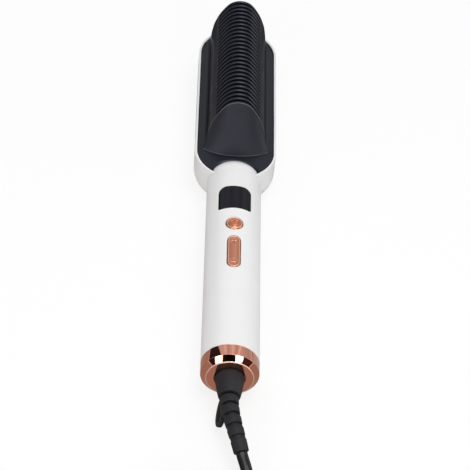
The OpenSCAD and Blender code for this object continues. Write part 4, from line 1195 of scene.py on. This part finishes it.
def row_places(flat, radius, edge, n):
    """Distances of rows from the middle of a round top: even ones over the flat part, given as (from,
    to, count), then those of the rounded edge at even angles."""
    a = np.linspace(0, np.pi / 2, n)[1:]
    return np.concatenate([np.linspace(*flat), radius - edge * np.cos(a)])


def sunk(edge, r):
    """Fall of a quarter-round edge of radius r, from the distance to the outline."""
    d = np.clip(edge / r, 0, 1)
    return r * (1 - np.sqrt(1 - (1 - d) ** 2))


def painted_highlight_rim(outline, edge):
    """Bead along a key's rounded top edge, carrying a painted highlight: a round section carried once
    about an outline of [x, s] that lies RIM_IN inside the key's own, with its middle just under the
    surface."""
    path = over_handle(outline[:, 0], outline[:, 1], KEY_LIFT)
    path[:, 2] -= sunk(RIM_IN, edge) + RIM_R / 3
    return placed(looped(path, RIM_R * circle(10)))


class COMB_OT_power_button(bpy.types.Operator):
    """Round power button: its top follows the handle and carries a sunk power symbol"""
    bl_idname = "comb.power_button"
    bl_label = "Power button"

    def execute(self, context):
        n = 144
        turn = circle(n)
        rho = row_places((0.05, 4.85, 62), POWER_R, POWER_EDGE, 8)
        x, y = rho[:, None] * turn[None, :, 0], rho[:, None] * turn[None, :, 1]
        # Symbol: a ring that is open towards the head, and a bar in the opening
        reach = np.hypot(x, y)
        end_x, end_y = SYMBOL_R * math.sin(SYMBOL_GAP), SYMBOL_R * math.cos(SYMBOL_GAP)
        ends = np.minimum(np.hypot(x - end_x, y - end_y), np.hypot(x + end_x, y - end_y))
        gap = np.abs(np.arctan2(x, y)) < SYMBOL_GAP
        symbol = np.minimum(np.where(gap, ends, np.abs(reach - SYMBOL_R)), stroke(x, y, 0, 0.5, 0, 3.1))
        # Top: rounded at its edge, with a shallow ring-shaped dish around the symbol
        top = over_handle(x, y + POWER_Y, KEY_LIFT)
        top[..., 2] -= (sunk(POWER_R - reach, POWER_EDGE) + carved(symbol, 0.5, 0.42)
                        + 0.18 * smoothstep((reach - 3.4) / 0.5) * smoothstep((4.9 - reach) / 0.4))
        # Under it: a flange that stays inside the wall, and a stem for the switch
        base = math.sqrt(WALL_IN_R ** 2 - FLANGE_R ** 2) - 0.25
        under = [(POWER_R, base), (FLANGE_R, base), (FLANGE_R, base - 1), (STEM_R, base - 1),
                 (STEM_R, POWER_STEM_Z)]
        rows = np.concatenate([top, level_rings(under, n, y=POWER_Y)])
        button = make("power_button_top", [placed(patch(rows, cap_first=True, cap_last=True))],
                      finishes()["satin"], "rose_gold", "power_button", sharp=40)
        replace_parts(button, "power_button")
        # Bead inside the button's edge, in the paler rose: a painted highlight line
        rim = painted_highlight_rim((POWER_R - RIM_IN) * turn + [0, POWER_Y], POWER_EDGE)
        make("power_button_painted_highlight_rim", [rim], finishes()["ring"], "rose_gold", "power_button",
             sharp=60)
        return {"FINISHED"}


class COMB_OT_rocker(bpy.types.Operator):
    """Temperature rocker: a long key with a sunk plus and minus, its hub on the pin and two feet"""
    bl_idname = "comb.rocker"
    bl_label = "Temperature rocker"

    def execute(self, context):
        half = ROCKER_HALF
        # Way round the key: a spine along its middle, and the direction out from it at each place
        straight = ROCKER_L / 2 - half
        a = np.linspace(0, np.pi, 56)
        s = np.linspace(1, -1, 90)[1:-1]
        along = straight * np.concatenate([1 + 0 * a, s])
        spine = np.stack([0 * along, along], -1)
        way = np.concatenate([np.stack([np.cos(a), np.sin(a)], -1), np.stack([0 * s - 1, 0 * s], -1)])
        spine, way = np.concatenate([spine, -spine]), np.concatenate([way, -way])
        rho = row_places((0.0, 3.6, 34), half, ROCKER_EDGE, 7)
        flat = spine[None] + rho[:, None, None] * way[None]
        x, y = flat[..., 0], flat[..., 1]
        plus = np.minimum(stroke(x, y, -MARK_HALF, MARK_Y, MARK_HALF, MARK_Y),
                          stroke(x, y, 0, MARK_Y - MARK_HALF, 0, MARK_Y + MARK_HALF))
        marks = np.minimum(plus, stroke(x, y, -MARK_HALF, -MARK_Y, MARK_HALF, -MARK_Y))
        # Top: rounded at its edge, with a shallow dish at either end for the finger
        dish = 0.22 * sum(smoothstep((3.3 - np.hypot(x, y + end)) / 1.2) for end in (-MARK_Y, MARK_Y))
        top = over_handle(x, y + ROCKER_Y, KEY_LIFT)
        top[..., 2] -= sunk(half - rho, ROCKER_EDGE)[:, None] + carved(marks, 0.45, 0.36) + dish
        rows = [np.insert(spine + r * way + [0, ROCKER_Y], 2, KEY_UNDER_Z, axis=1) for r in (half, 3.4)]
        key = patch(np.concatenate([top, np.stack(rows)]), cap_last=True)
        # Hub: a block across the key, bored for the pin
        turn = circle(48)
        hole = [0, PIN_Z] + HUB_HOLE_R * turn
        reach = 2.2 / np.abs(turn).max(axis=1)
        block = np.stack([reach * turn[:, 0], PIN_Z + np.clip(reach * turn[:, 1], -2, 1)], -1)
        loops = [np.insert(shape + [ROCKER_Y, 0], 0, x, axis=1)
                 for shape, x in ((hole, -half), (block, -half), (block, half), (hole, half))]
        feet = [patch(level_rings([(STEM_R, ROCKER_STEM_Z), (STEM_R, 13.5)], 48, y=ROCKER_Y + y),
                      cap_first=True, cap_last=True) for y in (-9, 9)]
        parts = [key, patch(np.stack(loops), along=True)] + feet
        rocker = make("temperature_rocker_key", map(placed, parts), finishes()["satin"], "rose_gold",
                      "temperature_rocker", sharp=40, weld=True)
        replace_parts(rocker, "temperature_rocker")
        # Bead inside the key's edge, in the paler rose: a painted highlight line
        rim = painted_highlight_rim(spine + (half - RIM_IN) * way + [0, ROCKER_Y], ROCKER_EDGE)
        make("temperature_rocker_painted_highlight_rim", [rim], finishes()["ring"], "rose_gold",
             "temperature_rocker", sharp=60)
        return {"FINISHED"}


class COMB_OT_lens(bpy.types.Operator):
    """Smoked lens of the display: a curved pane with softened edges"""
    bl_idname = "comb.lens"
    bl_label = "Display lens"

    def execute(self, context):
        corners = [(LENS_HALF, LENS_Y0), (LENS_HALF, LENS_Y1), (-LENS_HALF, LENS_Y1),
                   (-LENS_HALF, LENS_Y0)]
        outline = evenly_round(corners, [1.5, 5.0, 5.0, 1.5], 220)
        # Rows from the middle out: even ones over the pane, then those of its rounded edge
        a = np.linspace(0, np.pi / 2, 6)[1:]
        rho = np.concatenate([np.linspace(0.02, 1, 22), np.ones(5)])
        lower = LENS_EDGE * np.concatenate([np.zeros(22), 1 - np.cos(a)])
        shrink = LENS_EDGE * np.concatenate([np.ones(22), 1 - np.sin(a)])
        middle = np.array([0, (LENS_Y0 + LENS_Y1) / 2])
        ways = outline - middle
        length = np.linalg.norm(ways, axis=1)[None, :, None]
        flat = middle + ways[None] * rho[:, None, None] * (1 - shrink[:, None, None] / length)
        top = over_handle(flat[..., 0], flat[..., 1], -0.04)
        top[..., 2] -= lower[:, None]
        below = over_handle(outline[:, 0], outline[:, 1], -1.5)
        pane = patch(np.concatenate([top, below[None]]), cap_first=True, cap_last=True)
        lens = make("display_pane", [placed(pane)], finishes()["lens"], "lens_plastic", "comb",
                    sharp=50)
        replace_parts(lens, "display_lens")
        return {"FINISHED"}


# ---- Screws, plug and tie ----

def cross_screw(x, y, seat, length):
    """Screw with its head down: a domed head with a sunk cross, and a shank with a spiral thread."""
    n = 96
    a = np.linspace(0, 2 * np.pi, n, endpoint=False)[None]
    rho = row_places((0.03, SCREW_FLAT_R, 26), SCREW_HEAD_R, 0.5, 6)
    u, w = rho[:, None] * np.cos(a), rho[:, None] * np.sin(a)
    cross = np.minimum(np.where(np.abs(u) < 1.5, np.abs(w), 9), np.where(np.abs(w) < 1.5, np.abs(u), 9))
    dome = 0.5 * (1 - np.sqrt(1 - (rho / SCREW_HEAD_R) ** 2 * 0.99))[:, None]
    z = seat - 1.6 + dome + 0.8 * (1 - smoothstep((cross - 0.22) / 0.16))
    head = np.stack([x + u, y + w, z], -1)
    rows = np.linspace(0, length, 90)[:, None]
    thread = SCREW_R + THREAD_H * np.cos(2 * np.pi * rows / THREAD_PITCH + a)
    thread[-8:] *= np.linspace(1, 0.35, 8)[:, None]
    shank = np.stack([x + thread * np.cos(a), y + thread * np.sin(a), seat + rows + 0 * thread], -1)
    under_head = level_rings([(SCREW_HEAD_R, seat), (1.45, seat)], n, x, y)
    return patch(np.concatenate([head, under_head, shank]), cap_first=True, cap_last=True)


class COMB_OT_screws(bpy.types.Operator):
    """Screws that hold the guard and the handle's halves, seen from the back"""
    bl_idname = "comb.screws"
    bl_label = "Screws"

    def execute(self, context):
        for node, spots, seat, length in (("head_screws", HEAD_SCREWS, -11.0, 11.0),
                                          ("handle_screws", HANDLE_SCREWS, -12.7, 12.0)):
            parts = [placed(cross_screw(*spot, seat, length)) for spot in spots]
            screws = make(node + "_crossed", parts, finishes()["steel"], "steel", "comb", sharp=45)
            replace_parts(screws, node)
        return {"FINISHED"}


def plug_body():
    """Moulded plug from its neck to its face: rounded sections |x/a|^n + |z/b|^n = 1, with shallow
    waves for the fingers on the flat sides."""
    places = np.array(PLUG)[:, 0]
    fine = np.concatenate([np.linspace(one, two, 7)[:-1] for one, two in zip(places, places[1:])]
                          + [places[-1:]])
    wide, high, power = (np.interp(fine, places, column)[:, None] for column in np.array(PLUG).T[1:])
    fine = fine[:, None]
    waves = 0.5 + 0.5 * np.cos((fine - 22) * 2 * np.pi / 2.6)
    grip = 0.35 * waves * smoothstep((fine - 20) / 2) * smoothstep((36 - fine) / 2)
    c, s = circle(96).T
    x = np.sign(c) * np.abs(c) ** (2 / power) * wide
    z = np.sign(s) * np.abs(s) ** (2 / power) * (high - grip)
    return patch(np.stack([PLUG_X + x, PLUG_Y - fine + 0 * x, PLUG_H / 2 + z], -1), cap_first=True,
                 cap_last=True)


def plug_pin(side):
    """Round pin with a collar and a rounded tip, to one side of the plug's middle."""
    turn = circle(40)
    face = PLUG_Y - PLUG[-1][0]
    return patch(np.stack([np.stack([PLUG_X + side * PIN_APART + r * turn[:, 0], np.full(40, face - d),
                                     PLUG_H / 2 + r * turn[:, 1]], -1) for r, d in PIN]),
                 cap_first=True, cap_last=True)


def tie_strap():
    """Strap with rounded edges, carried around the hank's outline."""
    half, top = FOLD_R + 1.5 * CORD_D + 0.5, 3 * CORD_D + 1.5
    loop = evenly_round([(half, 0.5), (half, top), (-half, top), (-half, 0.5)], [2.5] * 4, 160)
    path = np.stack([HANK_X + loop[:, 0], np.full(160, HANK_Y0 - RUN_L / 2), loop[:, 1]], -1)
    return looped(path, ring(oblong(0.45, 4.5), 0.3, 4), up=(0, -1, 0))


class COMB_OT_plug(bpy.types.Operator):
    """Flat two-pin plug with a ribbed grip, its pins, and the tie around the hank"""
    bl_idname = "comb.plug"
    bl_label = "Plug and tie"

    def execute(self, context):
        for name, node, parts, finish, slot, sharp in (
                ("plug_moulded", "plug_body", [plug_body()], "plug", "plug_plastic", 40),
                ("plug_pins_round", "plug_pins", map(plug_pin, (-1, 1)), "nickel", "pin_metal", 50),
                ("cord_tie_strap", "cord_tie", [tie_strap()], "tie", "tie_rubber", 40)):
            parts = [placed(part, on_floor) for part in parts]
            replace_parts(make(name, parts, finishes()[finish], slot, "cord", sharp=sharp), node)
        return {"FINISHED"}


# ---- Studio set ----

def stage_card(name, part, tone):
    """A card that only polished surfaces see, from a patch in metres."""
    mesh = bpy.data.meshes.new(name)
    mesh.from_pydata(part[0].tolist(), [], part[1].tolist())
    finish = bpy.data.materials.new(name)
    finish.use_nodes = True
    tree = finish.node_tree
    tree.nodes.clear()
    glow = tree.nodes.new("ShaderNodeEmission")
    glow.inputs["Color"].default_value = (*tone, 1)
    tree.links.new(glow.outputs[0], tree.nodes.new("ShaderNodeOutputMaterial").inputs["Surface"])
    mesh.materials.append(finish)
    card = bpy.data.objects.new(name, mesh)
    card.visible_camera = card.visible_diffuse = card.visible_shadow = False
    bpy.context.scene.collection.objects.link(card)


def reflected_card(name, azimuths, elevations, tone):
    """A card on a sphere about the cap, between two azimuths and two elevations in degrees."""
    ways = toward(np.linspace(*azimuths, 9)[None], np.linspace(*elevations, 7)[:, None])
    stage_card(name, patch(CAP_AT + CARD_DISTANCE * ways, around=False), tone)


class COMB_OT_studio(bpy.types.Operator):
    """Pale floor, soft lights and the cards that the metal reflects"""
    bl_idname = "comb.studio"
    bl_label = "Studio"

    def execute(self, context):
        scene = context.scene
        scene.view_settings.view_transform = "Standard"
        floor = bpy.data.materials.new("studio_floor")
        floor.use_nodes = True
        tree = floor.node_tree
        tree.nodes.clear()
        out = tree.nodes.new("ShaderNodeOutputMaterial")
        diffuse = tree.nodes.new("ShaderNodeBsdfDiffuse")
        diffuse.inputs["Color"].default_value = (*colours().floor, 1)
        glow = tree.nodes.new("ShaderNodeEmission")
        mix = tree.nodes.new("ShaderNodeMixShader")
        path = tree.nodes.new("ShaderNodeLightPath")
        mirrored = maths(tree, "ADD", path.outputs["Is Glossy Ray"],
                         path.outputs["Is Transmission Ray"])
        seen = maths(tree, "ADD", path.outputs["Is Camera Ray"], mirrored, True)
        tree.links.new(maths(tree, "MULTIPLY", seen, FLOOR_GLOW), mix.inputs[0])
        tree.links.new(diffuse.outputs[0], mix.inputs[1])
        tree.links.new(glow.outputs[0], mix.inputs[2])
        tree.links.new(mix.outputs[0], out.inputs["Surface"])
        mesh = bpy.data.meshes.new("studio_floor")
        mesh.from_pydata([(FLOOR_HALF * x, FLOOR_HALF * y, FLOOR_Z)
                          for x, y in ((-1, -1), (1, -1), (1, 1), (-1, 1))], [], [(0, 1, 2, 3)])
        mesh.materials.append(floor)
        ground = bpy.data.objects.new("studio_floor", mesh)
        scene.collection.objects.link(ground)
        world = bpy.data.worlds.new("studio_world")
        world.use_nodes = True
        sky = world.node_tree
        way = sky.nodes.new("ShaderNodeSeparateXYZ")
        sky.links.new(sky.nodes.new("ShaderNodeTexCoord").outputs["Generated"], way.inputs[0])
        rise = sky.nodes.new("ShaderNodeMapRange")
        rise.inputs["From Min"].default_value, rise.inputs["From Max"].default_value = 0.0, SKY_TOP
        rise.inputs["To Min"].default_value, rise.inputs["To Max"].default_value = SKY_LOW, SKY_HIGH
        sky.links.new(way.outputs["Z"], rise.inputs["Value"])
        sky.nodes["Background"].inputs["Color"].default_value = (1, 1, 1, 1)
        direct = sky.nodes.new("ShaderNodeLightPath").outputs["Is Camera Ray"]
        strength = maths(sky, "MAXIMUM", rise.outputs["Result"], direct)
        sky.links.new(strength, sky.nodes["Background"].inputs["Strength"])
        scene.world = world
        for name, azimuth, elevation, distance, size, power in LIGHTS:
            data = bpy.data.lights.new(name, "AREA")
            data.shape = "RECTANGLE"
            data.size, data.size_y = size
            data.energy = power
            lamp = bpy.data.objects.new(name, data)
            way = toward(azimuth, elevation)
            lamp.location = (CAP_AT + distance * way).tolist()
            lamp.rotation_mode = "QUATERNION"
            lamp.rotation_quaternion = Vector((-way).tolist()).to_track_quat("-Z", "Y")
            scene.collection.objects.link(lamp)
        for card in CARDS:
            reflected_card(*card)
        for name, low, high, height, tone in LEVEL_CARDS:
            x, y = np.meshgrid([low[0], high[0]], [low[1], high[1]])
            stage_card(name, patch(np.stack([x, y, 0 * x + height], -1), around=False), tone)
        return {"FINISHED"}


class COMB_PT_panel(bpy.types.Panel):
    """Lists the comb's pieces and its settings"""
    bl_label = "Heated comb"
    bl_idname = "COMB_PT_panel"
    bl_space_type = "VIEW_3D"
    bl_region_type = "UI"
    bl_category = "Heated comb"

    def draw(self, context):
        for settings in (context.scene.comb_sizes, context.scene.comb_colours):
            box = self.layout.box()
            for key in settings.__annotations__:
                box.prop(settings, key)
        for operator in OPERATORS:
            self.layout.operator(operator.bl_idname)


OPERATORS = (COMB_OT_camera, COMB_OT_plug, COMB_OT_cord, COMB_OT_finishes, COMB_OT_shells,
             COMB_OT_guard, COMB_OT_cap, COMB_OT_relief, COMB_OT_eye, COMB_OT_power_button,
             COMB_OT_rocker, COMB_OT_lens, COMB_OT_screws, COMB_OT_studio)
CLASSES = (CombSizes, CombColours) + OPERATORS + (COMB_PT_panel,)


def register():
    """Adds the settings, the operators and the panel."""
    for cls in CLASSES:
        bpy.utils.register_class(cls)
    bpy.types.Scene.comb_sizes = PointerProperty(type=CombSizes)
    bpy.types.Scene.comb_colours = PointerProperty(type=CombColours)


def unregister():
    """Takes them away again."""
    del bpy.types.Scene.comb_colours
    del bpy.types.Scene.comb_sizes
    for cls in reversed(CLASSES):
        bpy.utils.unregister_class(cls)


def main():
    """Builds the comb piece by piece."""
    register()
    bpy.ops.comb.camera()
    bpy.ops.comb.plug()
    bpy.ops.comb.cord()
    bpy.ops.comb.finishes()
    bpy.ops.comb.shells()
    bpy.ops.comb.guard()
    bpy.ops.comb.cap()
    bpy.ops.comb.relief()
    bpy.ops.comb.eye()
    bpy.ops.comb.power_button()
    bpy.ops.comb.rocker()
    bpy.ops.comb.lens()
    bpy.ops.comb.screws()
    bpy.ops.comb.studio()


if __name__ == "__main__":
    main()
